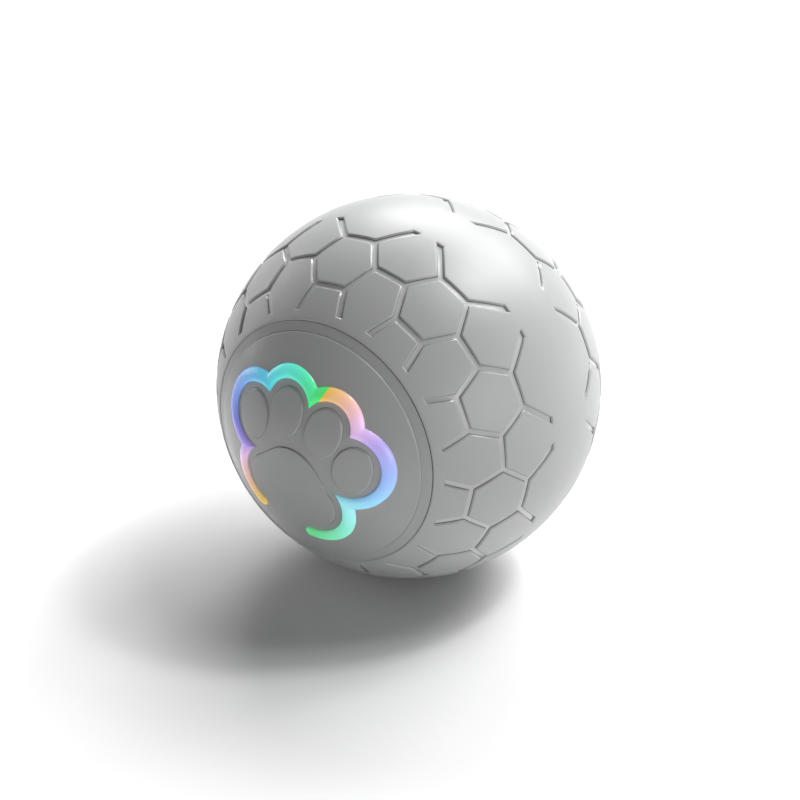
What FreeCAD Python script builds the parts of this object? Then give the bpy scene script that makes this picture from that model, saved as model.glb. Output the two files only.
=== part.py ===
import FreeCAD, Part
import math
import os

import Sketcher
from FreeCAD import Placement, Rotation, Vector

# Self-rolling dog ball. Every piece is drawn in the pole frame: x to the right, y up and z along
# the rolling axis towards the paw cap. FRONT and REAR then set it in the ball's own frame, where
# +Z is up, the rolling axis lies along Y and the origin is the ball's centre.

doc = FreeCAD.newDocument("rolling_ball")
FRONT = Placement(Vector(0, 0, 0), Rotation(Vector(1, 0, 0), 90))
REAR = FRONT.multiply(Placement(Vector(0, 0, 0), Rotation(Vector(0, 1, 0), 180)))
nodes = []

BALL_SIZES = [
    ("ball_radius", 40, "outside of the soft jacket"),
    ("jacket_wall", 3.2, "soft jacket"),
    ("skin_fit", 0.05, "jacket to shell, and other still fits"),
    ("lip_radius", 26.4, "edge of the jacket's end openings"),
    ("shell_wall", 2.4, "hard shell"),
    ("band_wall", 3.45, "hard shell beside the middle joint"),
    ("band_half", 7, "half length of that thicker band"),
    ("lap_length", 4, "spigot of the front shell inside the rear one"),
    ("lap_wall", 1.6, "wall of the spigot"),
    ("lap_fit", 0.1, "spigot to socket"),
    ("lap_seal_wide", 1.3, "groove of the middle seal"),
    ("lap_seal_deep", 0.8, "depth of that groove"),
    ("part_gap", 0.12, "line seen between two fitted covers"),
    ("moving_gap", 0.25, "gap round a piece that moves"),
    ("touch_gap", 0.05, "pieces that meet at rest"),
]
HONEYCOMB_SIZES = [
    ("groove_deep", 0.5, "depth of the tread grooves"),
    ("groove_floor", 1.3, "width of the floor of a groove"),
    ("groove_top", 1.6, "width of a groove at the surface"),
    ("cell_count", 10, "honeycomb cells in each band"),
    ("cell_polar", 62.2, "angle from the pole to a cell's centre"),
    ("cell_turn", 4.8, "turn of the first cell from straight up"),
    ("cell_side", 7.5, "side of a cell"),
    ("upper_end_polar", 44.8, "where the grooves end towards the pole"),
    ("upper_end_turn", 10.4, "turn of that end from the cell's centre"),
    ("lower_end_polar", 80.9, "where the grooves end towards the middle"),
    ("lower_end_turn", 13.7, "turn of that end from the cell's centre"),
]
CAP_SIZES = [
    ("lip_deep", 3.55, "shell's end face below the jacket's edge"),
    ("bezel_face", 2, "sloping face between the jacket and the panel"),
    ("bezel_drop", 0.1, "bezel's outer edge below the jacket's sphere"),
    ("seat_wide", 2.4, "seat under the panel's rim"),
    ("bezel_wall", 1.35, "bezel's wall inside the shell"),
    ("ledge_drop", 2, "shell's end face above its ledge"),
    ("ledge_thick", 2.5, "ledge that carries the bulkhead"),
    ("ledge_lip", 2, "ledge and bezel floor inside their screws"),
    ("bulkhead_thick", 1.5, "plate that carries the journal's end"),
    ("bulkhead_bore", 3, "wire hole in the bulkhead and the journal"),
    ("frame_floor", 1.2, "inner flange of the bezel"),
    ("frame_screw_in", 3, "bezel screws inside the bezel's wall"),
    ("frame_screw_count", 4, "bezel screws at each end"),
    ("frame_screw_turn", 48, "turn of the first bezel screw"),
    ("panel_drop", 0.2, "panel below the jacket's sphere"),
    ("panel_wall", 2.2, "panel"),
    ("panel_step", 0.35, "panel's rim above the bezel"),
    ("rim_round", 0.25, "rounding of the panel's rim"),
    ("rim_tall", 1.55, "rim of the panel"),
    ("skirt_wall", 0.7, "snap skirt of the panel"),
    ("skirt_long", 1.65, "snap skirt below the rim"),
    ("panel_seal_cord", 0.9, "cord of the seal under the rim"),
    ("board_fit", 0.35, "round boards inside the skirt"),
    ("board_thick", 1, "circuit boards"),
    ("post_long", 1.2, "posts under the boards"),
    ("post_radius", 2, "posts under the boards"),
    ("post_in", 2.5, "posts inside the board's edge"),
    ("post_count", 3, "posts and board screws at each end"),
    ("post_turn", 3, "turn of the first post"),
    ("wire_hole", 2.5, "wire hole in the round boards"),
    ("wire_hole_y", 7, "height of that hole"),
]
PAW_SIZES = [
    ("paw_tilt", 13, "lean of the paw to the right"),
    ("paw_shift", -0.5, "paw's middle line beside the pole"),
    ("toe_half_wide", 3.9, "half width of a toe"),
    ("toe_half_tall", 5.2, "half height of a toe"),
    ("toe_outer_x", 12.4, "outer toe from the middle line"),
    ("toe_outer_y", 3.3, "outer toe above the pole"),
    ("toe_inner_x", 4.6, "inner toe from the middle line"),
    ("toe_inner_y", 8.5, "inner toe above the pole"),
    ("toe_rise", 0.35, "toes and main pad above the panel"),
    ("toe_round", 0.22, "rounding of the toes', the main pad's and the plug's edges"),
    ("pad_top_y", -5, "centre of the pad's top arc"),
    ("pad_top_radius", 7, "pad's top arc"),
    ("pad_lobe_x", 4.9, "pad's lower lobe from the middle line"),
    ("pad_lobe_y", -8.6, "centre of that lobe"),
    ("pad_lobe_radius", 5.7, "pad's lower lobe"),
    ("pad_blend", 5, "hollow arc between the two lobes"),
    ("pad_gap", 0.15, "gap round the main pad"),
    ("pad_flange", 0.8, "flange that keeps the pad in"),
    ("pad_flange_thick", 1.1, "thickness of that flange"),
    ("button_travel", 0.5, "stroke of the main pad"),
    ("stem_radius", 2.2, "stem of the main pad"),
    ("ring_wide", 2.64, "light ring"),
    ("ring_rise", 0.5, "light ring above the panel"),
    ("ring_deep", 1.4, "channel of the light ring"),
    ("ring_round", 0.5, "rounding of the light ring's edges"),
    ("ring_outer_x", 11.2, "ring's arc round the outer toe"),
    ("ring_outer_y", 3.4, "centre of that arc"),
    ("ring_outer_radius", 8.1, "radius of that arc"),
    ("ring_inner_x", 4.8, "ring's arc round the inner toe"),
    ("ring_inner_y", 9.9, "centre of that arc"),
    ("ring_inner_radius", 6.5, "radius of that arc"),
    ("ring_pad_x", 4.6, "ring's arc round the pad"),
    ("ring_pad_y", -8.4, "centre of that arc"),
    ("ring_pad_radius", 8.85, "radius of that arc"),
    ("ring_start", -86, "angle where the ring starts on the right pad arc"),
    ("ring_finish", 250, "angle where the ring ends on the left pad arc"),
    ("peg_radius", 1, "light pegs under the ring"),
    ("led_side", 2.4, "lamp on the board"),
    ("led_height", 1.3, "lamp on the board"),
]
SWITCH_SIZES = [
    ("switch_side", 6, "tact switch"),
    ("switch_height", 1.8, "tact switch"),
    ("plunger_radius", 1.75, "plunger of the switch"),
    ("plunger_rise", 0.75, "plunger above the switch"),
    ("plunger_sunk", 0.9, "plunger inside the switch"),
]
PORT_SIZES = [
    ("port_wide", 8.94, "metal shell of the charging socket"),
    ("port_tall", 3.26, "metal shell of the charging socket"),
    ("port_shell", 0.32, "sheet of that shell"),
    ("port_sunk", 0.8, "charging socket below the floor of the plug's recess"),
    ("port_tongue_wide", 6.7, "tongue in the socket"),
    ("port_tongue_thick", 0.7, "tongue in the socket"),
    ("port_tongue_back", 1.2, "tongue behind the mouth"),
    ("plug_wide", 16.5, "silicone plug over the socket"),
    ("plug_tall", 8.5, "silicone plug over the socket"),
    ("recess_deep", 2.2, "floor under the plug below the panel's sphere"),
    ("recess_block", 2, "block round the socket's window"),
    ("window_wide", 9.6, "window for the socket"),
    ("window_tall", 3.9, "window for the socket"),
    ("plug_boss_deep", 0.7, "boss of the plug in the window"),
    ("strap_wide", 4, "strap of the plug"),
    ("strap_half", 0.45, "half thickness of the strap"),
    ("hinge_x", 9.3, "bending line of the strap"),
    ("hinge_lift", 0.6, "bending line of the strap above that floor"),
    ("anchor_long", 2.6, "anchor of the strap"),
    ("anchor_leg", 0.9, "radius of the anchor's leg"),
    ("anchor_drop", 0.35, "anchor below the panel's sphere"),
]
CORE_SIZES = [
    ("end_play", 0.5, "swinging weight to the shell's ledges"),
    ("back_room", 1.5, "core case to the rear arm"),
    ("core_radius", 19.4, "outside of the core case"),
    ("core_skin", 1.4, "wall of the gear chamber"),
    ("core_wall", 2.2, "wall of the core case beside the battery"),
    ("core_end_wall", 1.5, "end walls of the core case"),
    ("journal_radius", 6, "hollow journals at both ends"),
    ("journal_fit", 0.04, "running clearance on the journals"),
    ("core_screw_in", 3.4, "core screws inside the case's outside"),
    ("core_boss", 1.8, "bosses of the core screws"),
    ("gear_room", 5.5, "space between the gear plate and the cover"),
    ("gear_plate_thick", 1.5, "gear plate"),
    ("battery_wide", 27, "pouch cell"),
    ("battery_tall", 6, "pouch cell"),
    ("battery_room", 2, "room behind the cell"),
    ("battery_gap", 1, "cell and board to the gear plate"),
    ("tape_thick", 0.6, "foam tape under the cell"),
    ("main_board_y", 2, "lower face of the main board"),
    ("board_side_gap", 1.2, "main board to the case's wall"),
    ("rail_tall", 1, "rails under the main board"),
    ("rail_wide", 2.2, "rails under the main board"),
]
DRIVE_SIZES = [
    ("gear_module", 0.4, "all gears"),
    ("pinion_teeth", 10, "motor pinion"),
    ("first_teeth", 36, "wheel of the first gear"),
    ("first_pinion_teeth", 12, "pinion of the first gear"),
    ("second_teeth", 32, "wheel of the second gear"),
    ("second_pinion_teeth", 10, "pinion of the second gear"),
    ("output_teeth", 44, "output gear"),
    ("backlash", 0.1, "play between two meshed gears"),
    ("second_axle_turn", -9, "angle of the second axle about the journal"),
    ("motor_x", -5, "motor's axis"),
    ("motor_y", -9.5, "motor's axis"),
    ("motor_radius", 6, "motor's can"),
    ("motor_flat", 10, "motor's can across its flats"),
    ("motor_long", 12, "motor's can"),
    ("motor_cap_long", 3, "motor's end cap"),
    ("motor_boss_radius", 2, "motor's front boss"),
    ("motor_boss_long", 0.8, "motor's front boss"),
    ("motor_shaft_radius", 0.5, "motor's shaft"),
    ("motor_screw_apart", 9, "motor's two screws"),
    ("axle_radius", 0.75, "gear axles"),
    ("axle_fit", 0.04, "gears on their axles"),
    ("wheel_gap", 0.65, "gear plate to first wheel, and first to second"),
    ("first_wheel_thick", 1.8, "first wheel"),
    ("second_wheel_thick", 1.8, "second wheel"),
    ("output_thick", 3.2, "teeth of the output gear"),
    ("arm_gap", 0.2, "these teeth to the front arm"),
    ("output_hub", 8, "hub of the output gear"),
    ("bush_wall", 0.96, "bushes of the swinging weight"),
    ("bush_flange", 7.6, "flange of a bush"),
    ("bush_flange_thick", 0.5, "flange of a bush"),
    ("washer_radius", 7.8, "thrust washers"),
    ("washer_thick", 0.9, "thrust washers"),
    ("thrust_play", 0.15, "end play at each washer"),
]
WEIGHT_SIZES = [
    ("arm_thick", 2, "arms of the swinging weight"),
    ("arm_hub", 10.5, "arm round the journal"),
    ("arm_waist", 7, "half width of an arm"),
    ("core_clear", 1.6, "weight to the core case"),
    ("weight_clear", 2, "weight to the shell's inside"),
    ("weight_angle", 88, "arc of the weight"),
    ("weight_screw_in", 2.4, "screws of the weight outside its inner face"),
    ("weight_screw_turn", 20, "screws of the weight from straight down"),
    ("sink_gap", 0.1, "sunk screw heads in their pockets"),
]
SCREW_SIZES = [
    ("screw_radius", 0.9, "shank of the bezel and core screws"),
    ("screw_head", 1.6, "head of these screws"),
    ("screw_head_thick", 1, "head of these screws"),
    ("frame_screw_long", 4.6, "bezel screws"),
    ("core_screw_long", 12, "core screws"),
    ("small_screw_radius", 0.7, "shank of the small screws"),
    ("small_screw_head", 1.25, "head of the small screws"),
    ("small_screw_head_thick", 0.8, "head of the small screws"),
    ("board_screw_long", 2.8, "board screws"),
    ("journal_screw_ring", 4.5, "circle of the journal screws"),
    ("journal_screw_count", 3, "journal screws at each end"),
    ("journal_screw_long", 6, "journal screws"),
    ("motor_screw_long", 3, "motor screws"),
    ("weight_screw_long", 6.5, "weight screws"),
    ("screw_fit", 0.05, "screw in its hole"),
    ("drive_slot", 0.4, "slot in a screw's head"),
]

# What follows from these sizes, in the words of the sheet.
WORKED = [
    ("jacket_inner", "ball_radius - jacket_wall"),
    ("shell_outer", "jacket_inner - skin_fit"),
    ("shell_inner", "shell_outer - shell_wall"),
    ("band_inner", "shell_outer - band_wall"),
    ("lap_outer", "band_inner + lap_wall"),
    ("lap_socket", "lap_outer + lap_fit"),
    ("lap_groove", "lap_outer - lap_seal_deep"),
    ("lap_seal_cord", "(lap_seal_deep + lap_fit) / 2 - skin_fit / 2"),
    ("lap_seal_ring", "lap_groove + (lap_seal_deep + lap_fit) / 2"),
    ("lip_height", "sqrt(ball_radius ^ 2 - lip_radius ^ 2)"),
    ("lip_slope", "lip_radius / lip_height"),
    ("shell_end", "lip_height - lip_deep"),
    ("panel_edge", "lip_radius - bezel_face"),
    ("panel_outer", "ball_radius - panel_drop"),
    ("panel_inner", "panel_outer - panel_wall"),
    ("rim_height", "sqrt(panel_outer ^ 2 - panel_edge ^ 2)"),
    ("seat_height", "rim_height - rim_tall - touch_gap"),
    ("frame_wall_bore", "panel_edge - seat_wide"),
    ("bezel_outer", "frame_wall_bore + bezel_wall"),
    ("shell_bore", "bezel_outer + skin_fit"),
    ("bezel_bore", "panel_edge + skin_fit"),
    ("bezel_top", "rim_height - panel_step"),
    ("bezel_edge", "(ball_radius - bezel_drop) * lip_radius / ball_radius - part_gap"),
    ("bezel_edge_height", "(ball_radius - bezel_drop) * lip_height / ball_radius"),
    ("bezel_under", "jacket_inner - part_gap"),
    ("bezel_under_edge", "sqrt(bezel_under ^ 2 - shell_end ^ 2)"),
    ("bezel_neck", "bezel_under * lip_radius / ball_radius - part_gap"),
    ("bezel_neck_height", "bezel_under * lip_height / ball_radius"),
    ("frame_screw_ring", "frame_wall_bore - frame_screw_in"),
    ("ledge_bore", "frame_screw_ring - ledge_lip"),
    ("ledge_top", "shell_end - ledge_drop"),
    ("ledge_back", "ledge_top - ledge_thick"),
    ("bulkhead_front", "ledge_top + bulkhead_thick"),
    ("frame_floor_front", "bulkhead_front + frame_floor"),
    ("skirt_outer", "frame_wall_bore - skin_fit"),
    ("skirt_inner", "skirt_outer - skirt_wall"),
    ("skirt_end", "seat_height - skirt_long"),
    ("panel_seal_ring", "(frame_wall_bore + panel_edge) / 2"),
    ("board_radius", "skirt_inner - board_fit"),
    ("board_height", "frame_floor_front + post_long"),
    ("board_front", "board_height + board_thick"),
    ("post_ring", "board_radius - post_in"),
    ("led_front", "board_front + led_height"),
    ("paw_x", "paw_shift * cos(paw_tilt)"),
    ("paw_y", "-paw_shift * sin(paw_tilt)"),
    ("pad_outer", "panel_outer + toe_rise"),
    ("ring_outer", "panel_outer + ring_rise"),
    ("ring_floor", "panel_outer - ring_deep"),
    ("switch_front", "board_front + switch_height"),
    ("plunger_front", "switch_front + plunger_rise"),
    ("recess_floor", "panel_outer - recess_deep"),
    ("port_front", "recess_floor - port_sunk"),
    ("hinge_height", "recess_floor + hinge_lift"),
    ("hinge_reach", "hinge_x + strap_half + touch_gap"),
    ("arm_front", "ledge_back - end_play"),
    ("arm_back", "arm_front - arm_thick"),
    ("output_front", "arm_back - arm_gap"),
    ("output_back", "output_front - output_thick"),
    ("core_front", "output_back - thrust_play - washer_thick - touch_gap"),
    ("core_back", "arm_back - back_room"),
    ("core_inside", "core_end_wall - core_back"),
    ("core_cavity", "core_radius - core_skin"),
    ("core_inner", "core_radius - core_wall"),
    ("core_screw_ring", "core_radius - core_screw_in"),
    ("cover_back", "core_front - core_end_wall"),
    ("gear_plate_front", "cover_back - gear_room"),
    ("gear_plate_back", "gear_plate_front - gear_plate_thick"),
    ("first_wheel_back", "gear_plate_front + wheel_gap"),
    ("first_wheel_front", "first_wheel_back + first_wheel_thick"),
    ("second_wheel_back", "first_wheel_front + wheel_gap"),
    ("second_wheel_front", "second_wheel_back + second_wheel_thick"),
    ("axle_cd_first", "gear_module * (pinion_teeth + first_teeth) / 2"),
    ("axle_cd_second", "gear_module * (first_pinion_teeth + second_teeth) / 2"),
    ("axle_cd_output", "gear_module * (second_pinion_teeth + output_teeth) / 2"),
    ("second_axle_x", "axle_cd_output * cos(second_axle_turn)"),
    ("second_axle_y", "axle_cd_output * sin(second_axle_turn)"),
    ("motor_back", "gear_plate_back - motor_long"),
    ("journal_bore_radius", "journal_radius + journal_fit"),
    ("bush_outer", "journal_bore_radius + bush_wall"),
    ("weight_inner", "core_radius + core_clear"),
    ("weight_outer", "shell_inner - weight_clear"),
    ("arm_reach", "sqrt(weight_outer ^ 2 - arm_back ^ 2)"),
    ("weight_screw_ring", "weight_inner + weight_screw_in"),
    ("weight_screw_seat", "arm_front - screw_head_thick - sink_gap"),
    ("main_board_half", "core_inner - board_side_gap"),
    ("main_board_top", "main_board_y + board_thick"),
    ("main_board_front", "gear_plate_back - battery_gap"),
    ("battery_back", "core_inside + battery_room"),
    ("battery_base", "main_board_top + tape_thick"),
]

ALL_SIZES = (BALL_SIZES + HONEYCOMB_SIZES + CAP_SIZES + PAW_SIZES + SWITCH_SIZES + PORT_SIZES
             + CORE_SIZES + DRIVE_SIZES + WEIGHT_SIZES + SCREW_SIZES)


def size_sheet():
    """Sheet of the sizes that are set by hand, as plain numbers."""
    table = doc.addObject("Spreadsheet::Sheet", "Sizes")
    for row, (alias, number, meaning) in enumerate(ALL_SIZES, start=1):
        table.set("A%d" % row, alias)
        table.set("B%d" % row, str(number))
        table.set("C%d" % row, meaning)
        table.setAlias("B%d" % row, alias)
    doc.recompute()
    return table


SIZE_NAMES = {alias for alias, number, meaning in ALL_SIZES}
WORKED_NAMES = {alias for alias, formula in WORKED}


def formula(text):
    """Spell a formula with each size's sheet before its name."""
    word = ""
    out = ""
    for letter in str(text) + " ":
        if letter.isalnum() or letter == "_":
            word += letter
            continue
        if word in SIZE_NAMES:
            word = "Sizes." + word
        elif word in WORKED_NAMES:
            word = "Worked." + word
        out += word + letter
        word = ""
    return out.strip()


def worked_sheet():
    """Sheet of what follows from the sizes."""
    table = doc.addObject("Spreadsheet::Sheet", "Worked")
    for row, (alias, text) in enumerate(WORKED, start=1):
        table.set("A%d" % row, alias)
        table.setAlias("B%d" % row, alias)
    for row, (alias, text) in enumerate(WORKED, start=1):
        table.set("B%d" % row, "=" + formula(text).replace("Worked.", ""))
    doc.recompute()
    return table


sizes = size_sheet()
worked = worked_sheet()


def val(name):
    """Number behind a size's name."""
    return float(getattr(sizes if name in SIZE_NAMES else worked, name))


def bind(obj, **formulas):
    """Tie properties to formulas; a double underscore in a name stands for a point."""
    for prop, text in formulas.items():
        obj.setExpression(prop.replace("__", "."), formula(text))
    return obj


def deliver(obj, label, placement=FRONT):
    """Name a finished piece and set it in the ball's frame."""
    obj.Label = label
    obj.Placement = placement
    nodes.append(obj)
    return obj


def cylinder(name, radius, low, high, x="0", y="0"):
    """Round bar along the pole axis between two heights."""
    bar = doc.addObject("Part::Cylinder", name)
    bind(bar, Radius=radius, Height="(%s) - (%s)" % (high, low))
    return bind(bar, Placement__Base__x=x, Placement__Base__y=y, Placement__Base__z=low)


def box(name, wide, tall, low, high, x="0", y="0"):
    """Block centred on (x, y) between two heights."""
    block = doc.addObject("Part::Box", name)
    bind(block, Length=wide, Width=tall, Height="(%s) - (%s)" % (high, low))
    bind(block, Placement__Base__x="(%s) - (%s) / 2" % (x, wide))
    return bind(block, Placement__Base__y="(%s) - (%s) / 2" % (y, tall), Placement__Base__z=low)


def sphere(name, radius):
    """Ball about the centre."""
    return bind(doc.addObject("Part::Sphere", name), Radius=radius)


def fuse(name, *pieces):
    joined = doc.addObject("Part::MultiFuse", name)
    joined.Shapes = list(pieces)
    return joined


def common(name, *pieces):
    shared = doc.addObject("Part::MultiCommon", name)
    shared.Shapes = list(pieces)
    return shared


def cut(name, base, *tools):
    """Take one tool, or several joined, from a base."""
    remainder = doc.addObject("Part::Cut", name)
    remainder.Base = base
    remainder.Tool = tools[0] if len(tools) == 1 else fuse(name + "_tools", *tools)
    return remainder


def group(name, pieces):
    """Separate like solids kept as one piece."""
    together = doc.addObject("Part::Compound", name)
    together.Links = pieces
    return together


def feature(name, shape):
    """Object whose shape is worked out here from the sheet."""
    obj = doc.addObject("Part::Feature", name)
    obj.Shape = shape
    return obj


def extrude(name, outline, low, high):
    """Flat outline raised along the pole axis between two heights."""
    raised = doc.addObject("Part::Extrusion", name)
    raised.Base = outline
    raised.DirMode = "Custom"
    raised.Dir = Vector(0, 0, 1)
    raised.Solid = True
    bind(raised, LengthFwd=high, LengthRev="-(%s)" % low)
    return raised


def new_sketch(body, name, plane, height="0"):
    """Sketch on one of a body's own planes, raised to a height."""
    sketch = body.newObject("Sketcher::SketchObject", name)
    support = [item for item in body.Origin.OriginFeatures if item.Role == plane][0]
    sketch.AttachmentSupport = [(support, "")]
    sketch.MapMode = "FlatFace"
    return bind(sketch, AttachmentOffset__Base__z=height)


def hold(sketch, kind, index, point, text):
    """Hold one coordinate of a sketch point at a formula."""
    number = sketch.addConstraint(Sketcher.Constraint(kind, -1, 1, index, point, 1.0))
    sketch.setExpression("Constraints[%d]" % number, formula(text))


def draw_circle(sketch, radius, x="0", y="0"):
    index = sketch.addGeometry(Part.Circle(Vector(1, 1, 0), Vector(0, 0, 1), 1), False)
    number = sketch.addConstraint(Sketcher.Constraint("Radius", index, 1.0))
    sketch.setExpression("Constraints[%d]" % number, formula(radius))
    hold(sketch, "DistanceX", index, 3, x)
    hold(sketch, "DistanceY", index, 3, y)


def draw_outline(sketch, corners):
    """Closed outline through corners given as pairs of formulas."""
    count = len(corners)
    turn = 2 * math.pi / count
    spots = [Vector(math.cos(turn * k), math.sin(turn * k), 0) for k in range(count)]
    for k in range(count):
        sketch.addGeometry(Part.LineSegment(spots[k], spots[(k + 1) % count]), False)
    for k in range(count):
        sketch.addConstraint(Sketcher.Constraint("Coincident", k, 2, (k + 1) % count, 1))
    for k, (x, y) in enumerate(corners):
        hold(sketch, "DistanceX", k, 1, x)
        hold(sketch, "DistanceY", k, 1, y)


def turned(name, corners):
    """Body turned about the pole axis from an outline of (radius, height) corners."""
    body = doc.addObject("PartDesign::Body", name)
    sketch = new_sketch(body, name + "_outline", "XZ_Plane")
    draw_outline(sketch, corners)
    turn = body.newObject("PartDesign::Revolution", name + "_turn")
    turn.Profile = sketch
    turn.ReferenceAxis = (sketch, ["V_Axis"])
    turn.Angle = 360
    return body


def padded(name, low, high, drawing):
    """Body raised between two heights from a sketch that drawing fills in."""
    body = doc.addObject("PartDesign::Body", name)
    sketch = new_sketch(body, name + "_outline", "XY_Plane", low)
    drawing(sketch)
    raised = body.newObject("PartDesign::Pad", name + "_pad")
    raised.Profile = sketch
    bind(raised, Length="(%s) - (%s)" % (high, low))
    return body


def drill(body, name, radius, x, y, low, high):
    """Round hole along the pole axis between two heights."""
    sketch = new_sketch(body, name + "_spot", "XY_Plane", high)
    draw_circle(sketch, radius, x, y)
    hole = body.newObject("PartDesign::Pocket", name)
    hole.Profile = sketch
    bind(hole, Length="(%s) - (%s)" % (high, low))
    return hole


def drill_ring(body, name, radius, ring, count, turn, low, high):
    """Like holes on a circle about the pole axis."""
    hole = drill(body, name, radius, on_ring(ring, turn)[0], on_ring(ring, turn)[1], low, high)
    pattern = body.newObject("PartDesign::PolarPattern", name + "_ring")
    pattern.Originals = [hole]
    axis = [item for item in body.Origin.OriginFeatures if item.Role == "Z_Axis"][0]
    pattern.Axis = (axis, [""])
    pattern.Angle = 360
    bind(pattern, Occurrences=count)
    body.Tip = pattern
    return pattern


def on_ring(ring, turn):
    """Formulas of the point at an angle on a circle."""
    return "(%s) * cos(%s)" % (ring, turn), "(%s) * sin(%s)" % (ring, turn)


def ring_spots(ring, count, turn):
    """Formulas of evenly spaced points on a circle."""
    number = int(val(count))
    return [on_ring(ring, "%s + 360 / %s * %d" % (turn, count, k)) for k in range(number)]


def screw(name, x, y, seat, long, kind=""):
    """Screw whose head sits on a face and whose shank runs back from it; kind is small or none."""
    head, thick, shank = kind + "screw_head", kind + "screw_head_thick", kind + "screw_radius"
    top = "%s + %s" % (seat, thick)
    bar = cylinder(name + "_shank", shank, "%s - %s" % (seat, long), seat, x, y)
    cap = cylinder(name + "_head", head, seat, top, x, y)
    slot = box(name + "_slot", "2 * " + head, "drive_slot", top + " - drive_slot", top, x, y)
    cross = box(name + "_cross", "drive_slot", "2 * " + head, top + " - drive_slot", top, x, y)
    reach = cylinder(name + "_reach", head + " * 0.7", top + " - drive_slot", top, x, y)
    recess = common(name + "_recess", fuse(name + "_drive", slot, cross), reach)
    return cut(name, fuse(name + "_blank", bar, cap), recess)


def screws(name, spots, seat, long, kind=""):
    return group(name, [screw("%s_%d" % (name, k), x, y, seat, long, kind)
                        for k, (x, y) in enumerate(spots)])


def pole_direction(polar, turn):
    """Direction at an angle from the pole, turned from straight up to the left."""
    tip = math.radians(polar)
    spin = math.radians(turn)
    return Vector(-math.sin(tip) * math.sin(spin), math.sin(tip) * math.cos(spin), math.cos(tip))


def cell_corner(centre_turn, corner):
    """Corner of a flat-topped hexagon laid on the sphere; corner 0 is at the left."""
    centre = pole_direction(val("cell_polar"), centre_turn)
    side = Vector(0, 0, 1).cross(centre).normalize()
    up = centre.cross(side)
    share = val("cell_side") / val("ball_radius")
    angle = math.radians(60 * corner)
    return (centre + side * share * math.cos(angle) + up * share * math.sin(angle)).normalize()


def groove_bar(start, finish, extra=0.0):
    """Straight bar of the groove's section along the great circle between two directions."""
    radius, deep = val("ball_radius"), val("groove_deep")
    middle = (start + finish).normalize()
    along = (finish - start).normalize()
    across = middle.cross(along)
    half = (finish - start).Length * radius / 2 + extra
    flare = (val("groove_top") - val("groove_floor")) / 2 / deep
    corners = []
    for level, hand in ((-2, -1), (-2, 1), (2, 1), (2, -1)):
        half_wide = val("groove_top") / 2 + level * deep * flare
        corners.append(middle * (radius + level * deep) + across * hand * half_wide - along * half)
    face = Part.Face(Part.makePolygon(corners + corners[:1]))
    return face.extrude(along * 2 * half)


def cell_bars(turn, step):
    """The grooves of one cell: six sides, the link to the next cell and four loose ends."""
    corners = [cell_corner(turn, k) for k in range(6)]
    bars = [groove_bar(corners[k], corners[(k + 1) % 6]) for k in range(6)]
    bars.append(groove_bar(corners[0], cell_corner(turn + step, 3)))
    past_end = val("groove_top")
    for hand, upper, lower in ((1, 1, 5), (-1, 2, 4)):
        top = pole_direction(val("upper_end_polar"), turn + hand * val("upper_end_turn"))
        foot = pole_direction(val("lower_end_polar"), turn + hand * val("lower_end_turn"))
        bars.append(groove_bar(corners[upper], top, past_end))
        bars.append(groove_bar(corners[lower], foot, past_end))
    return bars


def groove_band():
    """All grooves of one band, from their floor to above the surface."""
    step = 360 / val("cell_count")
    bars = []
    for k in range(int(val("cell_count"))):
        bars += cell_bars(val("cell_turn") - step * k, step)
    floor = val("ball_radius") - val("groove_deep")
    above = val("ball_radius") + val("groove_deep")
    angles = [math.radians(90 - val(name)) for name in ("upper_end_polar", "lower_end_polar")]
    angles.insert(1, sum(angles) / 2)

    def arc(radius):
        spots = [Vector(radius * math.cos(angle), 0, radius * math.sin(angle)) for angle in angles]
        return Part.Arc(*spots).toShape(), spots

    low_arc, low = arc(floor)
    high_arc, high = arc(above)
    ends = [Part.makeLine(low[k], high[k]) for k in (0, 2)]
    section = Part.Face(Part.Wire(Part.__sortEdges__([low_arc, high_arc] + ends)))
    envelope = section.revolve(Vector(0, 0, 0), Vector(0, 0, 1), 360)
    return envelope.common(bars[0].multiFuse(bars[1:]))


def end_cone(name, direction):
    """Cone from the centre through the jacket's end opening."""
    cone = doc.addObject("Part::Cone", name)
    bind(cone, Radius1="0", Radius2="lip_slope * ball_radius", Height="ball_radius")
    cone.Placement = Placement(Vector(0, 0, 0), Rotation(Vector(1, 0, 0), 0 if direction > 0 else 180))
    return cone


def make_jacket():
    """Soft sleeve with a honeycomb of grooves round each end opening."""
    wall = cut("jacket_wall_ball", sphere("jacket_ball", "ball_radius"),
               sphere("jacket_hollow", "jacket_inner"))
    open_ended = cut("jacket_blank", wall, end_cone("front_end_cone", 1), end_cone("rear_end_cone", -1))
    band = groove_band()
    front_band = feature("front_grooves", band)
    rear_band = feature("rear_grooves", band.mirror(Vector(0, 0, 0), Vector(0, 0, 1)))
    deliver(cut("jacket", open_ended, front_band, rear_band), "tread_jacket")


def half_space(name, low, high):
    """Wide block between two heights, to keep one half of a ball."""
    return box(name, "3 * ball_radius", "3 * ball_radius", low, high)


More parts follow.
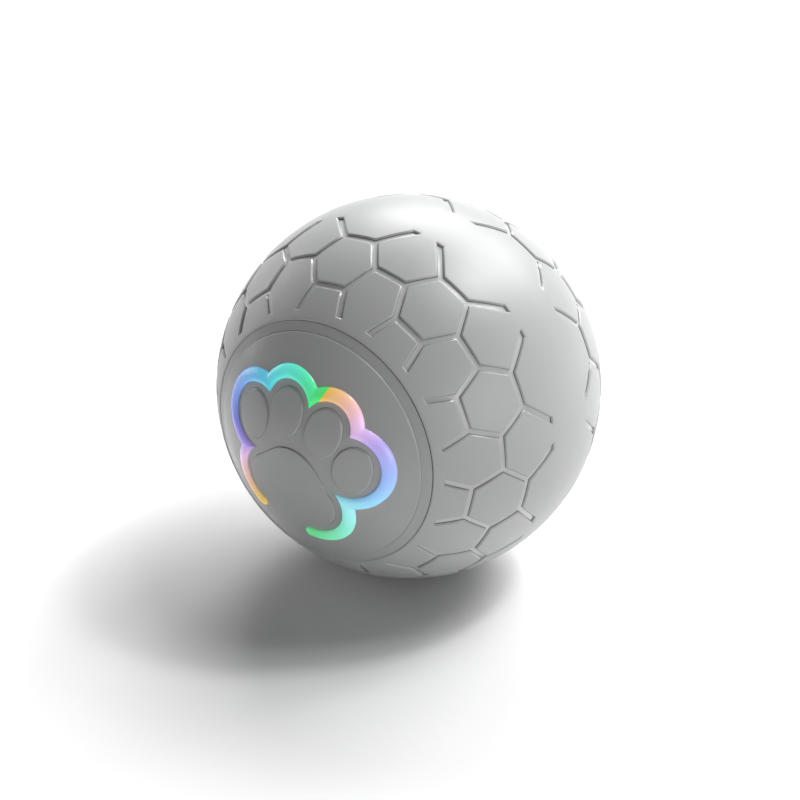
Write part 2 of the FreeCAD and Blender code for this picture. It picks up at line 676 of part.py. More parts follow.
def make_shell(side, placement):
    """Hard half shell with a thick band at the joint and a ledge in its end opening."""
    outer = common(side + "_shell_outer", sphere(side + "_shell_ball", "shell_outer"),
                   half_space(side + "_shell_half", "0", "shell_end"))
    hollow = sphere(side + "_shell_hollow", "shell_inner")
    band = common(side + "_shell_band_full", sphere(side + "_band_ball", "shell_outer"),
                  half_space(side + "_band_half", "0", "band_half"))
    collar = common(side + "_collar_full", sphere(side + "_collar_ball", "shell_outer"),
                    half_space(side + "_collar_half", "ledge_back", "shell_end"))
    wall = fuse(side + "_shell_walls", cut(side + "_shell_thin", outer, hollow), band, collar)
    tools = [cylinder(side + "_band_bore", "band_inner", "-1", "band_half"),
             cylinder(side + "_mid_bore", "shell_inner * 0.8", "0", "ledge_back"),
             cylinder(side + "_ledge_bore", "ledge_bore", "0", "shell_end + 1"),
             cylinder(side + "_end_bore", "shell_bore", "ledge_top", "shell_end + 1")]
    for k, (x, y) in enumerate(ring_spots("frame_screw_ring", "frame_screw_count", "frame_screw_turn")):
        tools.append(cylinder("%s_shell_hole_%d" % (side, k), "screw_radius + screw_fit",
                              "ledge_back - 1", "ledge_top + 1", x, y))
    if side == "rear":
        tools.append(cylinder("rear_lap_socket", "lap_socket", "-1", "lap_length + skin_fit"))
        return deliver(cut("rear_shell_body", wall, *tools), "rear_shell", placement)
    shell = cut("front_shell_open", wall, *tools)
    spigot = turned("front_spigot", [("band_inner", "0"), ("band_inner", "-lap_length"),
                                     ("lap_outer", "-lap_length"),
                                     ("lap_outer", "-lap_length / 2 - lap_seal_wide / 2"),
                                     ("lap_groove", "-lap_length / 2 - lap_seal_wide / 2"),
                                     ("lap_groove", "-lap_length / 2 + lap_seal_wide / 2"),
                                     ("lap_outer", "-lap_length / 2 + lap_seal_wide / 2"),
                                     ("lap_outer", "0")])
    return deliver(fuse("front_shell_body", shell, spigot), "front_shell", placement)


def make_shell_seal():
    """Rubber ring in the groove of the front shell's spigot."""
    ring = doc.addObject("Part::Torus", "shell_seal_ring")
    bind(ring, Radius1="lap_seal_ring", Radius2="lap_seal_cord", Placement__Base__z="-lap_length / 2")
    held = group("shell_seal_held", [ring])
    deliver(held, "shell_seal")


def make_bezel(side, placement):
    """Sloping ring beside the panel, with a foot under the jacket's edge, a seat and a screw flange."""
    seal_out, seal_in = "panel_seal_ring + panel_seal_cord / 2", "panel_seal_ring - panel_seal_cord / 2"
    corners = [("ledge_bore", "bulkhead_front"), ("bezel_outer", "bulkhead_front"),
               ("bezel_outer", "shell_end"), ("bezel_under_edge", "shell_end"),
               ("bezel_neck", "bezel_neck_height"), ("bezel_edge", "bezel_edge_height"),
               ("bezel_bore", "bezel_top"), ("bezel_bore", "seat_height"), (seal_out, "seat_height"),
               (seal_out, "seat_height - panel_seal_cord"), (seal_in, "seat_height - panel_seal_cord"),
               (seal_in, "seat_height"), ("frame_wall_bore", "seat_height"),
               ("frame_wall_bore", "frame_floor_front"), ("ledge_bore", "frame_floor_front")]
    body = turned(side + "_bezel_ring", corners)
    drill_ring(body, side + "_bezel_hole", "screw_radius + screw_fit", "frame_screw_ring",
               "frame_screw_count", "frame_screw_turn", "bulkhead_front - 1", "frame_floor_front + 1")
    posts, bores = [], []
    for k, (x, y) in enumerate(ring_spots("post_ring", "post_count", "post_turn")):
        posts.append(cylinder("%s_post_%d" % (side, k), "post_radius", "frame_floor_front",
                              "board_height", x, y))
        bores.append(cylinder("%s_post_bore_%d" % (side, k), "small_screw_radius + screw_fit",
                              "board_front - board_screw_long - part_gap", "board_height + 1", x, y))
    blank = fuse(side + "_bezel_blank", body, *posts)
    deliver(cut(side + "_bezel_body", blank, *bores), side + "_bezel", placement)


def make_bulkhead(side, placement):
    """Round plate on the shell's ledge that holds the end of the journal."""
    body = padded(side + "_bulkhead_plate", "ledge_top", "bulkhead_front",
                  lambda sketch: draw_circle(sketch, "bezel_outer"))
    drill(body, side + "_wire_hole", "bulkhead_bore", "0", "0", "ledge_top", "bulkhead_front")
    drill_ring(body, side + "_frame_hole", "screw_radius + screw_fit", "frame_screw_ring",
               "frame_screw_count", "frame_screw_turn", "ledge_top", "bulkhead_front")
    drill_ring(body, side + "_journal_hole", "small_screw_radius + screw_fit", "journal_screw_ring",
               "journal_screw_count", "90", "ledge_top", "bulkhead_front")
    deliver(body, side + "_bulkhead", placement)


def make_end_screws(side, placement):
    """Screws of the bezel, of the journal and of the round board."""
    spots = ring_spots("frame_screw_ring", "frame_screw_count", "frame_screw_turn")
    deliver(screws(side + "_bezel_screw", spots, "frame_floor_front", "frame_screw_long"),
            side + "_bezel_screws", placement)
    spots = ring_spots("journal_screw_ring", "journal_screw_count", "90")
    deliver(screws(side + "_journal_screw", spots, "bulkhead_front", "journal_screw_long", "small_"),
            side + "_journal_screws", placement)
    spots = ring_spots("post_ring", "post_count", "post_turn")
    deliver(screws(side + "_board_screw", spots, "board_front", "board_screw_long", "small_"),
            side + "_board_screws", placement)


def make_round_board(side, label, placement):
    """Round circuit board on the bezel's posts."""
    body = padded(side + "_round_board", "board_height", "board_front",
                  lambda sketch: draw_circle(sketch, "board_radius"))
    drill_ring(body, side + "_board_hole", "small_screw_radius + screw_fit", "post_ring",
               "post_count", "post_turn", "board_height", "board_front")
    drill(body, side + "_board_wire_hole", "wire_hole", "0", "wire_hole_y", "board_height", "board_front")
    deliver(body, label, placement)


def make_panel_seal(side, placement):
    """Rubber ring under the panel's rim."""
    ring = doc.addObject("Part::Torus", side + "_panel_seal_ring")
    bind(ring, Radius1="panel_seal_ring", Radius2="panel_seal_cord / 2 - skin_fit / 2",
         Placement__Base__z="seat_height - panel_seal_cord / 2")
    deliver(group(side + "_panel_seal_held", [ring]), side + "_panel_seal", placement)


def sphere_edges(shape, radius):
    """Numbers of the edges that lie on a sphere about the centre."""
    numbers = []
    for number, edge in enumerate(shape.Edges, start=1):
        middle = edge.valueAt((edge.FirstParameter + edge.LastParameter) / 2)
        ends = [vertex.Point for vertex in edge.Vertexes]
        if all(abs(point.Length - radius) < 0.001 for point in ends + [middle]):
            numbers.append(number)
    return numbers


def rim_edges(shape):
    """Numbers of the edges round the panel's rim."""
    spots = [(number, edge.valueAt((edge.FirstParameter + edge.LastParameter) / 2))
             for number, edge in enumerate(shape.Edges, start=1)]
    edge_radius, height = val("panel_edge"), val("rim_height")
    return [number for number, spot in spots
            if abs(spot.z - height) < 0.001 and abs(math.hypot(spot.x, spot.y) - edge_radius) < 0.001]


def rounded(name, base, rounds):
    """The base with edges rounded: pairs of a picking function and a radius."""
    doc.recompute()
    soft = doc.addObject("Part::Fillet", name)
    soft.Base = base
    soft.Edges = [(number, radius, radius) for pick, radius in rounds for number in pick(base.Shape)]
    return soft


def panel_blank(side):
    """Domed panel with its rim and its snap skirt."""
    dome = common(side + "_panel_dome", sphere(side + "_panel_ball", "panel_outer"),
                  cylinder(side + "_panel_disc", "panel_edge", "seat_height + touch_gap", "ball_radius"))
    core = common(side + "_panel_core", sphere(side + "_panel_hollow", "panel_inner"),
                  cylinder(side + "_panel_core_bar", "skirt_inner", "0", "ball_radius"))
    skirt = cut(side + "_panel_skirt",
                cylinder(side + "_skirt_bar", "skirt_outer", "skirt_end", "seat_height + 1"),
                cylinder(side + "_skirt_bore", "skirt_inner", "0", "ball_radius"))
    return fuse(side + "_panel_shell", cut(side + "_panel_open", dome, core), skirt)


def arc_edge(centre, radius, start, finish):
    """Arc from one angle to another, in degrees."""
    spots = []
    for angle in (start, (start + finish) / 2, finish):
        turn = math.radians(angle)
        spots.append(centre + Vector(math.cos(turn), math.sin(turn), 0) * radius)
    return Part.Arc(*spots).toShape(), spots[0], spots[2]


def crossing(first, second):
    """Outer crossing point of two circles given as (centre, radius)."""
    gap = second[0] - first[0]
    along = (first[1] ** 2 - second[1] ** 2 + gap.Length ** 2) / (2 * gap.Length)
    aside = math.sqrt(first[1] ** 2 - along ** 2)
    unit = Vector(gap.x, gap.y, 0).normalize()
    side = Vector(-unit.y, unit.x, 0)
    points = [first[0] + unit * along + side * aside, first[0] + unit * along - side * aside]
    return max(points, key=lambda point: point.Length)


def angle_of(point, centre):
    return math.degrees(math.atan2(point.y - centre.y, point.x - centre.x))


def ring_circles(offset):
    """The six arcs round the paw, from the right pad lobe over the toes to the left one."""
    circles = []
    for name, hand in (("pad", 1), ("outer", 1), ("inner", 1), ("inner", -1), ("outer", -1), ("pad", -1)):
        centre = Vector(hand * val("ring_%s_x" % name), val("ring_%s_y" % name), 0)
        circles.append((centre, val("ring_%s_radius" % name) + offset))
    return circles


def ring_side(offset):
    """Edges of one side of the light ring, in order, with its first and last point."""
    circles = ring_circles(offset)
    joints = [crossing(circles[k], circles[k + 1]) for k in range(5)]
    edges = []
    for k, (centre, radius) in enumerate(circles):
        start = val("ring_start") if k == 0 else angle_of(joints[k - 1], centre)
        finish = val("ring_finish") if k == 5 else angle_of(joints[k], centre)
        while finish < start:
            finish += 360
        edges.append(arc_edge(centre, radius, start, finish))
    return [edge for edge, first, last in edges], edges[0][1], edges[-1][2]


def end_cap(outer, inner, hand):
    """Half round end of the light ring."""
    middle = (outer + inner) / 2
    across = outer - inner
    tip = middle + Vector(-across.y, across.x, 0) * hand / 2
    return Part.Arc(outer, tip, inner).toShape()


def ring_outline(wide):
    """Flat outline of the light ring at a width."""
    outer, outer_first, outer_last = ring_side(wide / 2)
    inner, inner_first, inner_last = ring_side(-wide / 2)
    caps = [end_cap(outer_first, inner_first, -1), end_cap(outer_last, inner_last, 1)]
    return Part.Wire(Part.__sortEdges__(outer + inner + caps))


def pad_outline(offset):
    """Flat outline of the main pad, grown by an offset: a top arc, two lobes and a hollow."""
    top = Vector(0, val("pad_top_y"), 0)
    lobe = Vector(val("pad_lobe_x"), val("pad_lobe_y"), 0)
    top_radius = val("pad_top_radius") + offset
    lobe_radius = val("pad_lobe_radius") + offset
    blend = val("pad_blend") - offset
    gap = lobe - top
    lean = math.degrees(math.acos((top_radius - lobe_radius) / gap.Length))
    side = math.degrees(math.atan2(gap.y, gap.x)) + lean
    drop = math.sqrt((lobe_radius + blend) ** 2 - lobe.x ** 2)
    hollow = Vector(0, lobe.y - drop, 0)
    reach = angle_of(hollow, lobe)
    mirror_lobe = Vector(-lobe.x, lobe.y, 0)
    top_edge, top_right, top_left = arc_edge(top, top_radius, side, 180 - side)
    right, right_low, right_high = arc_edge(lobe, lobe_radius, reach, side)
    left, left_high, left_low = arc_edge(mirror_lobe, lobe_radius, 180 - side, 180 - reach)
    notch, first, last = arc_edge(hollow, blend, angle_of(lobe, hollow), 180 - angle_of(lobe, hollow))
    lines = [Part.makeLine(right_high, top_right), Part.makeLine(top_left, left_high)]
    return Part.Wire(Part.__sortEdges__([top_edge, right, left, notch] + lines))


def paw_face(name, wire):
    """Flat face set at the paw's tilt and place."""
    face = feature(name, Part.Face(wire))
    bind(face, Placement__Base__x="paw_x", Placement__Base__y="paw_y")
    face.Placement = Placement(Vector(val("paw_x"), val("paw_y"), 0),
                               Rotation(Vector(0, 0, 1), -val("paw_tilt")))
    return face


def paw_spot(x, y):
    """Formulas of a point of the paw's own frame."""
    return ("paw_x + (%s) * cos(paw_tilt) + (%s) * sin(paw_tilt)" % (x, y),
            "paw_y - (%s) * sin(paw_tilt) + (%s) * cos(paw_tilt)" % (x, y))


def make_toe(name, hand, place):
    """Raised oval toe of the panel."""
    oval = doc.addObject("Part::Ellipse", name + "_oval")
    bind(oval, MajorRadius="toe_half_tall", MinorRadius="toe_half_wide")
    x, y = paw_spot("%d * toe_%s_x" % (hand, place), "toe_%s_y" % place)
    oval.Placement = Placement(Vector(0, 0, 0), Rotation(Vector(0, 0, 1), 90 - val("paw_tilt")))
    bind(oval, Placement__Base__x=x, Placement__Base__y=y)
    return extrude(name + "_bar", oval, "panel_inner * 0.8", "ball_radius + 1")


def peg_spots():
    """Places of the light pegs: two on each arc of the ring, in the paw's own frame."""
    circles = ring_circles(0)
    joints = [crossing(circles[k], circles[k + 1]) for k in range(5)]
    spots = []
    for k, (centre, radius) in enumerate(circles):
        start = val("ring_start") if k == 0 else angle_of(joints[k - 1], centre)
        finish = val("ring_finish") if k == 5 else angle_of(joints[k], centre)
        while finish < start:
            finish += 360
        for share in (0.2, 0.8):
            turn = math.radians(start + (finish - start) * share)
            spots.append(centre + Vector(math.cos(turn), math.sin(turn), 0) * radius)
    tilt = Rotation(Vector(0, 0, 1), -val("paw_tilt"))
    shift = Vector(val("paw_x"), val("paw_y"), 0)
    return [tilt.multVec(spot) + shift for spot in spots]


def peg_bars(prefix, radius, low, high):
    return [cylinder("%s_%d" % (prefix, k), radius, low, high, "%.4f" % spot.x, "%.4f" % spot.y)
            for k, spot in enumerate(peg_spots())]


def make_front_panel():
    """Panel with four raised toes, the channel of the light ring and the opening of the pad."""
    toes = [make_toe("toe_%d" % k, hand, place) for k, (hand, place) in
            enumerate(((1, "outer"), (1, "inner"), (-1, "inner"), (-1, "outer")))]
    domed = common("toes_cut", fuse("toes_all", *toes), sphere("toe_ball", "pad_outer"))
    raised = cut("toes_raised", domed, sphere("toe_under", "panel_inner + panel_wall / 2"))
    blank = fuse("front_panel_blank", panel_blank("front"), raised)
    channel_bar = extrude("channel_bar", paw_face("channel_face", ring_outline(val("ring_wide")
                          + 2 * val("skin_fit"))), "seat_height + touch_gap", "ball_radius + 1")
    channel = cut("channel", channel_bar, sphere("channel_floor", "ring_floor"))
    opening = extrude("pad_opening", paw_face("opening_face", pad_outline(val("pad_gap"))),
                      "seat_height", "ball_radius + 1")
    bores = peg_bars("peg_bore", "peg_radius + skin_fit", "0", "ball_radius")
    sharp = cut("front_panel_sharp", blank, channel, opening, *bores)
    edges = [(rim_edges, val("rim_round")),
             (lambda shape: sphere_edges(shape, val("pad_outer")), val("toe_round"))]
    deliver(rounded("front_panel_body", sharp, edges), "front_panel")


def make_light_ring():
    """Clear light guide round the paw, with a peg over each lamp."""
    bar = extrude("ring_bar", paw_face("ring_face", ring_outline(val("ring_wide"))),
                  "seat_height + touch_gap", "ball_radius + 1")
    top = common("ring_top", bar, sphere("ring_ball", "ring_outer"))
    lifted = cut("ring_band", top, sphere("ring_under", "ring_floor + touch_gap"))
    bars = fuse("ring_peg_bars", *peg_bars("peg", "peg_radius", "led_front + moving_gap", "ball_radius"))
    pegs = common("ring_pegs", bars, sphere("peg_ball", "ring_floor + ring_deep / 2"))
    whole = fuse("ring_whole", lifted, pegs)
    top_edges = [(lambda shape: sphere_edges(shape, val("ring_outer")), val("ring_round"))]
    deliver(rounded("ring_rounded", whole, top_edges), "light_ring")


def make_lamps():
    """Coloured lamps under the pegs."""
    lamps = [box("lamp_%d" % k, "led_side", "led_side", "board_front", "led_front",
                 "%.4f" % spot.x, "%.4f" % spot.y) for k, spot in enumerate(peg_spots())]
    deliver(group("lamp_group", lamps), "light_lamps")


def make_button():
    """Main pad of the paw with its flange and stem: the power button."""
    pad = extrude("pad_bar", paw_face("pad_face", pad_outline(0)), "seat_height", "ball_radius + 1")
    flange = extrude("flange_bar", paw_face("flange_face", pad_outline(val("pad_flange"))),
                     "seat_height", "ball_radius + 1")
    body = common("pad_body", pad, sphere("pad_ball", "pad_outer"))
    rim = common("flange_body", flange, sphere("flange_ball", "panel_inner - moving_gap"))
    x, y = paw_spot("0", "pad_lobe_y + pad_lobe_radius / 4")
    stem_bar = cylinder("stem_bar", "stem_radius", "plunger_front + touch_gap", "ball_radius", x, y)
    stem = common("stem_body", stem_bar, sphere("stem_ball", "panel_inner"))
    hollow = sphere("pad_hollow", "panel_inner - moving_gap - pad_flange_thick")
    shell = cut("pad_shell", fuse("pad_and_flange", body, rim), hollow)
    sharp = fuse("button_sharp", shell, stem)
    edges = [(lambda shape: sphere_edges(shape, val("pad_outer")), val("toe_round"))]
    deliver(rounded("button_body", sharp, edges), "power_button")
    return x, y


def make_switch(x, y):
    """Tact switch on the lamp board, and its plunger."""
    case = box("switch_box", "switch_side", "switch_side", "board_front", "switch_front", x, y)
    bore = cylinder("switch_bore", "plunger_radius + skin_fit",
                    "switch_front - plunger_sunk - button_travel - touch_gap", "switch_front", x, y)
    deliver(cut("switch_case", case, bore), "power_switch")
    plunger = cylinder("plunger_bar", "plunger_radius", "switch_front - plunger_sunk", "plunger_front",
                       x, y)
    deliver(group("plunger_held", [plunger]), "switch_plunger")


def rounded_bar(name, wide, tall, low, high):
    """Bar with half round ends, standing on the pole axis."""
    middle = box(name + "_middle", "(%s) - (%s)" % (wide, tall), tall, low, high)
    reach = "((%s) - (%s)) / 2" % (wide, tall)
    ends = [cylinder("%s_end_%d" % (name, k), "(%s) / 2" % tall, low, high, x)
            for k, x in enumerate((reach, "-" + reach))]
    return fuse(name, middle, *ends)


def make_rear_panel():
    """Plain panel with the recess of the plug and the window of the charging socket."""
    block_bar = rounded_bar("port_block_bar", "plug_wide + 2 * panel_wall", "plug_tall + 2 * panel_wall",
                            "recess_floor - recess_block", "ball_radius")
    block = common("port_block", block_bar, sphere("port_block_ball", "panel_inner + 0.5"))
    anchor_block = common("anchor_block", box("anchor_block_bar", "anchor_long + 2 * panel_wall",
                          "strap_wide + 2 * panel_wall", "recess_floor - recess_block", "ball_radius",
                          "hinge_x + anchor_long / 2"), sphere("anchor_block_ball", "panel_inner + 0.5"))
    blank = fuse("rear_panel_blank", panel_blank("rear"), block, anchor_block)
    recess = rounded_bar("port_recess", "plug_wide + 2 * moving_gap", "plug_tall + 2 * moving_gap",
                         "recess_floor", "ball_radius + 1")
    slot = box("strap_slot", "hinge_reach + anchor_long + part_gap", "strap_wide + 2 * part_gap",
               "recess_floor", "ball_radius + 1", "(hinge_reach + anchor_long + part_gap) / 2")
    window = rounded_bar("port_window", "window_wide", "window_tall", "0", "ball_radius")
    leg = cylinder("anchor_bore", "anchor_leg + skin_fit", "0", "ball_radius",
                   "hinge_reach + anchor_long / 2")
    sharp = cut("rear_panel_sharp", blank, recess, slot, window, leg)
    deliver(rounded("rear_panel_body", sharp, [(rim_edges, val("rim_round"))]), "rear_panel", REAR)


def make_port():
    """Metal charging socket, with its tongue, standing on the rear board."""
    shell = rounded_bar("port_outside", "port_wide", "port_tall", "board_front", "port_front")
    hollow = rounded_bar("port_inside", "port_wide - 2 * port_shell", "port_tall - 2 * port_shell",
                         "board_front + port_shell", "port_front + 1")
    tongue = box("port_tongue", "port_tongue_wide", "port_tongue_thick", "board_front",
                 "port_front - port_tongue_back")
    deliver(fuse("port_body", cut("port_can", shell, hollow), tongue), "charging_socket", REAR)


def make_plug():
    """Silicone plug over the socket, its strap bending at the hinge line, and the strap's anchor."""
    flap = rounded_bar("plug_flap", "plug_wide", "plug_tall", "recess_floor + part_gap", "ball_radius + 1")
    strap = box("plug_strap", "hinge_x", "strap_wide", "hinge_height - strap_half",
                "hinge_height + strap_half", "hinge_x / 2")
    knuckle = doc.addObject("Part::Cylinder", "plug_knuckle")
    knuckle.Placement = Placement(Vector(0, 0, 0), Rotation(Vector(1, 0, 0), 90))
    bind(knuckle, Radius="strap_half", Height="strap_wide", Placement__Base__x="hinge_x",
         Placement__Base__y="strap_wide / 2", Placement__Base__z="hinge_height")
    boss = rounded_bar("plug_boss", "window_wide - 4 * moving_gap", "window_tall - 2 * moving_gap",
                       "recess_floor + part_gap - plug_boss_deep", "recess_floor + 1")
    top = common("plug_top", flap, sphere("plug_ball", "pad_outer"))
    sharp = fuse("plug_sharp", top, strap, knuckle, boss)
    edges = [(lambda shape: sphere_edges(shape, val("pad_outer")), val("toe_round"))]
    deliver(rounded("plug_body", sharp, edges), "port_plug", REAR)
    block = box("anchor_bar", "anchor_long", "strap_wide", "recess_floor", "ball_radius",
                "hinge_reach + anchor_long / 2")
    leg = cylinder("anchor_pin", "anchor_leg", "recess_floor - recess_block - 0.5", "recess_floor + 0.5",
                   "hinge_reach + anchor_long / 2")
    capped = common("anchor_top", block, sphere("anchor_ball", "panel_outer - anchor_drop"))
    deliver(fuse("anchor_body", capped, leg), "plug_anchor", REAR)


def gear_wire(teeth, turn):
    """Outline of an involute gear of 20 degree pressure angle, a tooth at the given turn."""
    module = val("gear_module")
    pitch = module * teeth / 2
    base = pitch * math.cos(math.radians(20))
    tip, root = pitch + 0.95 * module, pitch - 1.2 * module
    half = math.pi / 2 / teeth - val("backlash") / 2 / (2 * pitch)
    flare = math.tan(math.radians(20)) - math.radians(20)

    def flank(radius):
        """Half angle of the tooth at a radius."""
        roll = math.sqrt(max((radius / base) ** 2 - 1, 0))
        return half + flare - (roll - math.atan(roll))

    start = max(base, root)
    radii = [start + (tip - start) * (k / 4) ** 1.5 for k in range(5)]

    def point(radius, angle):
        return Vector(radius * math.cos(angle), radius * math.sin(angle), 0)

    edges = []
    for k in range(teeth):
        middle = turn + 2 * math.pi * k / teeth
        following = middle + 2 * math.pi / teeth
        rise = [point(radius, middle - flank(radius)) for radius in radii]
        fall = [point(radius, middle + flank(radius)) for radius in reversed(radii)]
        for side in (rise, fall):
            curve = Part.BSplineCurve()
            curve.interpolate(side)
            edges.append(curve.toShape())
        edges.append(Part.Arc(rise[-1], point(tip, middle), fall[0]).toShape())
        foot, next_foot = middle + flank(start), following - flank(start)
        low, next_low = point(root, foot), point(root, next_foot)
        if start > root:
            edges.append(Part.makeLine(fall[-1], low))
            edges.append(Part.makeLine(next_low, point(start, next_foot)))
        edges.append(Part.Arc(low, point(root, (foot + next_foot) / 2), next_low).toShape())
    return Part.Wire(Part.__sortEdges__(edges))


def toothed(name, teeth, turn, low, high, x="0", y="0"):
    """Toothed wheel between two heights."""
    face = feature(name + "_outline", Part.Face(gear_wire(int(val(teeth)), turn)))
    bind(face, Placement__Base__x=x, Placement__Base__y=y)
    return extrude(name + "_teeth", face, low, high)


def meshed(turn, teeth, centre, other_teeth, other_centre):
    """Turn that sets the other gear's gap on this gear's tooth, both by their first tooth."""
    line = math.atan2(other_centre.y - centre.y, other_centre.x - centre.x)
    lead = (turn - line) * teeth / other_teeth
    return line + math.pi - lead + math.pi / other_teeth


def axle_centres():
    """Centres of the journal, the second axle, the first axle and the motor."""
    journal = Vector(0, 0, 0)
    second = Vector(val("second_axle_x"), val("second_axle_y"), 0)
    motor = Vector(val("motor_x"), val("motor_y"), 0)
    near, far = val("axle_cd_first"), val("axle_cd_second")
    gap = second - motor
    along = (near ** 2 - far ** 2 + gap.Length ** 2) / (2 * gap.Length)
    aside = math.sqrt(near ** 2 - along ** 2)
    unit = Vector(gap.x, gap.y, 0).normalize()
    first = motor + unit * along + Vector(unit.y, -unit.x, 0) * aside
    return journal, second, first, motor


def make_gears():
    """Motor pinion, two stepped gears and the output gear, in mesh at rest."""
    journal, second, first, motor = axle_centres()
    teeth = {name: int(val(name)) for name in ("pinion_teeth", "first_teeth", "first_pinion_teeth",
                                               "second_teeth", "second_pinion_teeth", "output_teeth")}
    output_turn = math.pi / 2
    second_pinion_turn = meshed(output_turn, teeth["output_teeth"], journal,
                                teeth["second_pinion_teeth"], second)
    second_turn = second_pinion_turn
    first_pinion_turn = meshed(second_turn, teeth["second_teeth"], second,
                               teeth["first_pinion_teeth"], first)
    first_turn = first_pinion_turn
    pinion_turn = meshed(first_turn, teeth["first_teeth"], first, teeth["pinion_teeth"], motor)

    output = toothed("output", "output_teeth", output_turn, "output_back", "output_front")
    hub = cylinder("output_hub_bar", "output_hub", "output_back", "arm_front")
    bore = cylinder("output_bore", "bush_outer", "0", "ball_radius")
    deliver(cut("output_body", fuse("output_blank", output, hub), bore), "output_gear")

    x, y = "second_axle_x", "second_axle_y"
    wheel = toothed("second_wheel", "second_teeth", second_turn, "second_wheel_back",
                    "second_wheel_front", x, y)
    pinion = toothed("second_pinion", "second_pinion_teeth", second_pinion_turn, "second_wheel_back",
                     "output_front - part_gap", x, y)
    bore = cylinder("second_bore", "axle_radius + axle_fit", "0", "ball_radius", x, y)
    deliver(cut("second_body", fuse("second_blank", wheel, pinion), bore), "second_gear")

    x, y = "%.5f" % first.x, "%.5f" % first.y
    wheel = toothed("first_wheel", "first_teeth", first_turn, "first_wheel_back",
                    "first_wheel_front", x, y)
    pinion = toothed("first_pinion", "first_pinion_teeth", first_pinion_turn, "first_wheel_back",
                     "second_wheel_front + part_gap", x, y)
    bore = cylinder("first_bore", "axle_radius + axle_fit", "0", "ball_radius", x, y)
    deliver(cut("first_body", fuse("first_blank", wheel, pinion), bore), "first_gear")

    pinion = toothed("motor_pinion_wheel", "pinion_teeth", pinion_turn, "first_wheel_back - part_gap",
                     "first_wheel_front + part_gap", "motor_x", "motor_y")
    bore = cylinder("motor_pinion_bore", "motor_shaft_radius", "0", "ball_radius", "motor_x", "motor_y")
    deliver(cut("motor_pinion_body", pinion, bore), "motor_pinion")
    shaft = cylinder("motor_shaft_bar", "motor_shaft_radius", "motor_back - motor_cap_long / 2",
                     "first_wheel_front + 2 * part_gap", "motor_x", "motor_y")
    deliver(group("motor_shaft_held", [shaft]), "motor_shaft")

    axles = [cylinder("first_axle", "axle_radius", "gear_plate_back", "core_front", x, y),
             cylinder("second_axle", "axle_radius", "gear_plate_back", "output_front",
                      "second_axle_x", "second_axle_y")]
    deliver(group("axle_pair", axles), "gear_axles")
    return first


def make_motor():
    """Small direct current motor behind the gear plate: can with boss, end cap and two screws."""
    x, y = "motor_x", "motor_y"
    cap_back = "motor_back - motor_cap_long"
    can = common("motor_can_body",
                 cylinder("motor_round", "motor_radius", "motor_back", "gear_plate_back", x, y),
                 box("motor_flats", "2 * motor_radius", "motor_flat", "motor_back", "gear_plate_back",
                     x, y))
    boss = cylinder("motor_boss", "motor_boss_radius", "gear_plate_back",
                    "gear_plate_back + motor_boss_long", x, y)
    shaft_bore = cylinder("motor_bearing", "motor_shaft_radius + axle_fit", cap_back, "ball_radius", x, y)
    spots = [(x, "motor_y + motor_screw_apart / 2"), (x, "motor_y - motor_screw_apart / 2")]
    taps = [cylinder("motor_tap_%d" % k, "small_screw_radius + screw_fit",
                     "gear_plate_front - motor_screw_long - part_gap", "gear_plate_front", *spot)
            for k, spot in enumerate(spots)]
    deliver(cut("motor_can_cut", fuse("motor_can_blank", can, boss), shaft_bore, *taps), "motor_can")
    cap = common("motor_cap_body",
                 cylinder("motor_cap_round", "motor_radius - part_gap", cap_back, "motor_back", x, y),
                 box("motor_cap_flats", "2 * motor_radius", "motor_flat - 2 * part_gap", cap_back,
                     "motor_back", x, y))
    bore = cylinder("motor_cap_bore", "motor_shaft_radius + axle_fit",
                    "motor_back - motor_cap_long / 2 - touch_gap", "motor_back + 1", x, y)
    deliver(cut("motor_cap_cut", cap, bore), "motor_cap")
    deliver(screws("motor_screw", spots, "gear_plate_front", "motor_screw_long", "small_"), "motor_screws")


CORE_SCREW_TURNS = (60, 120, 200)


def core_spots():
    return [on_ring("core_screw_ring", str(turn)) for turn in CORE_SCREW_TURNS]


def make_core_case():
    """Cup that holds the battery, board and motor, with the rear journal on its end."""
    body = turned("core_cup", [("bulkhead_bore", "-ledge_top"), ("journal_radius", "-ledge_top"),
                               ("journal_radius", "-core_back"), ("core_radius", "-core_back"),
                               ("core_radius", "cover_back"), ("core_cavity", "cover_back"),
                               ("core_cavity", "gear_plate_back"), ("core_inner", "gear_plate_back"),
                               ("core_inner", "core_inside"), ("bulkhead_bore", "core_inside")])
    drill_ring(body, "core_journal_tap", "small_screw_radius + screw_fit", "journal_screw_ring",
               "journal_screw_count", "90", "-ledge_top - 1",
               "-ledge_top + journal_screw_long - bulkhead_thick + part_gap")
    pieces = [body]
    for k, (x, y) in enumerate(core_spots()):
        pieces.append(cylinder("core_boss_%d" % k, "core_boss", "core_inside", "gear_plate_back", x, y))
    for k, hand in enumerate((1, -1)):
        x = "%d * (core_inner - rail_wide / 2 + core_wall / 8)" % hand
        pieces.append(box("core_rail_%d" % k, "rail_wide", "rail_tall", "core_inside", "main_board_front",
                          x, "main_board_y - rail_tall / 2"))
    bores = [cylinder("core_tap_%d" % k, "screw_radius + screw_fit",
                      "core_front - core_screw_long - part_gap", "gear_plate_back + 1", x, y)
             for k, (x, y) in enumerate(core_spots())]
    round_limit = cylinder("core_round", "core_radius", "-ledge_top", "core_front")
    whole = common("core_trim", fuse("core_blank", *pieces), round_limit)
    deliver(cut("core_case_body", whole, *bores), "core_case")


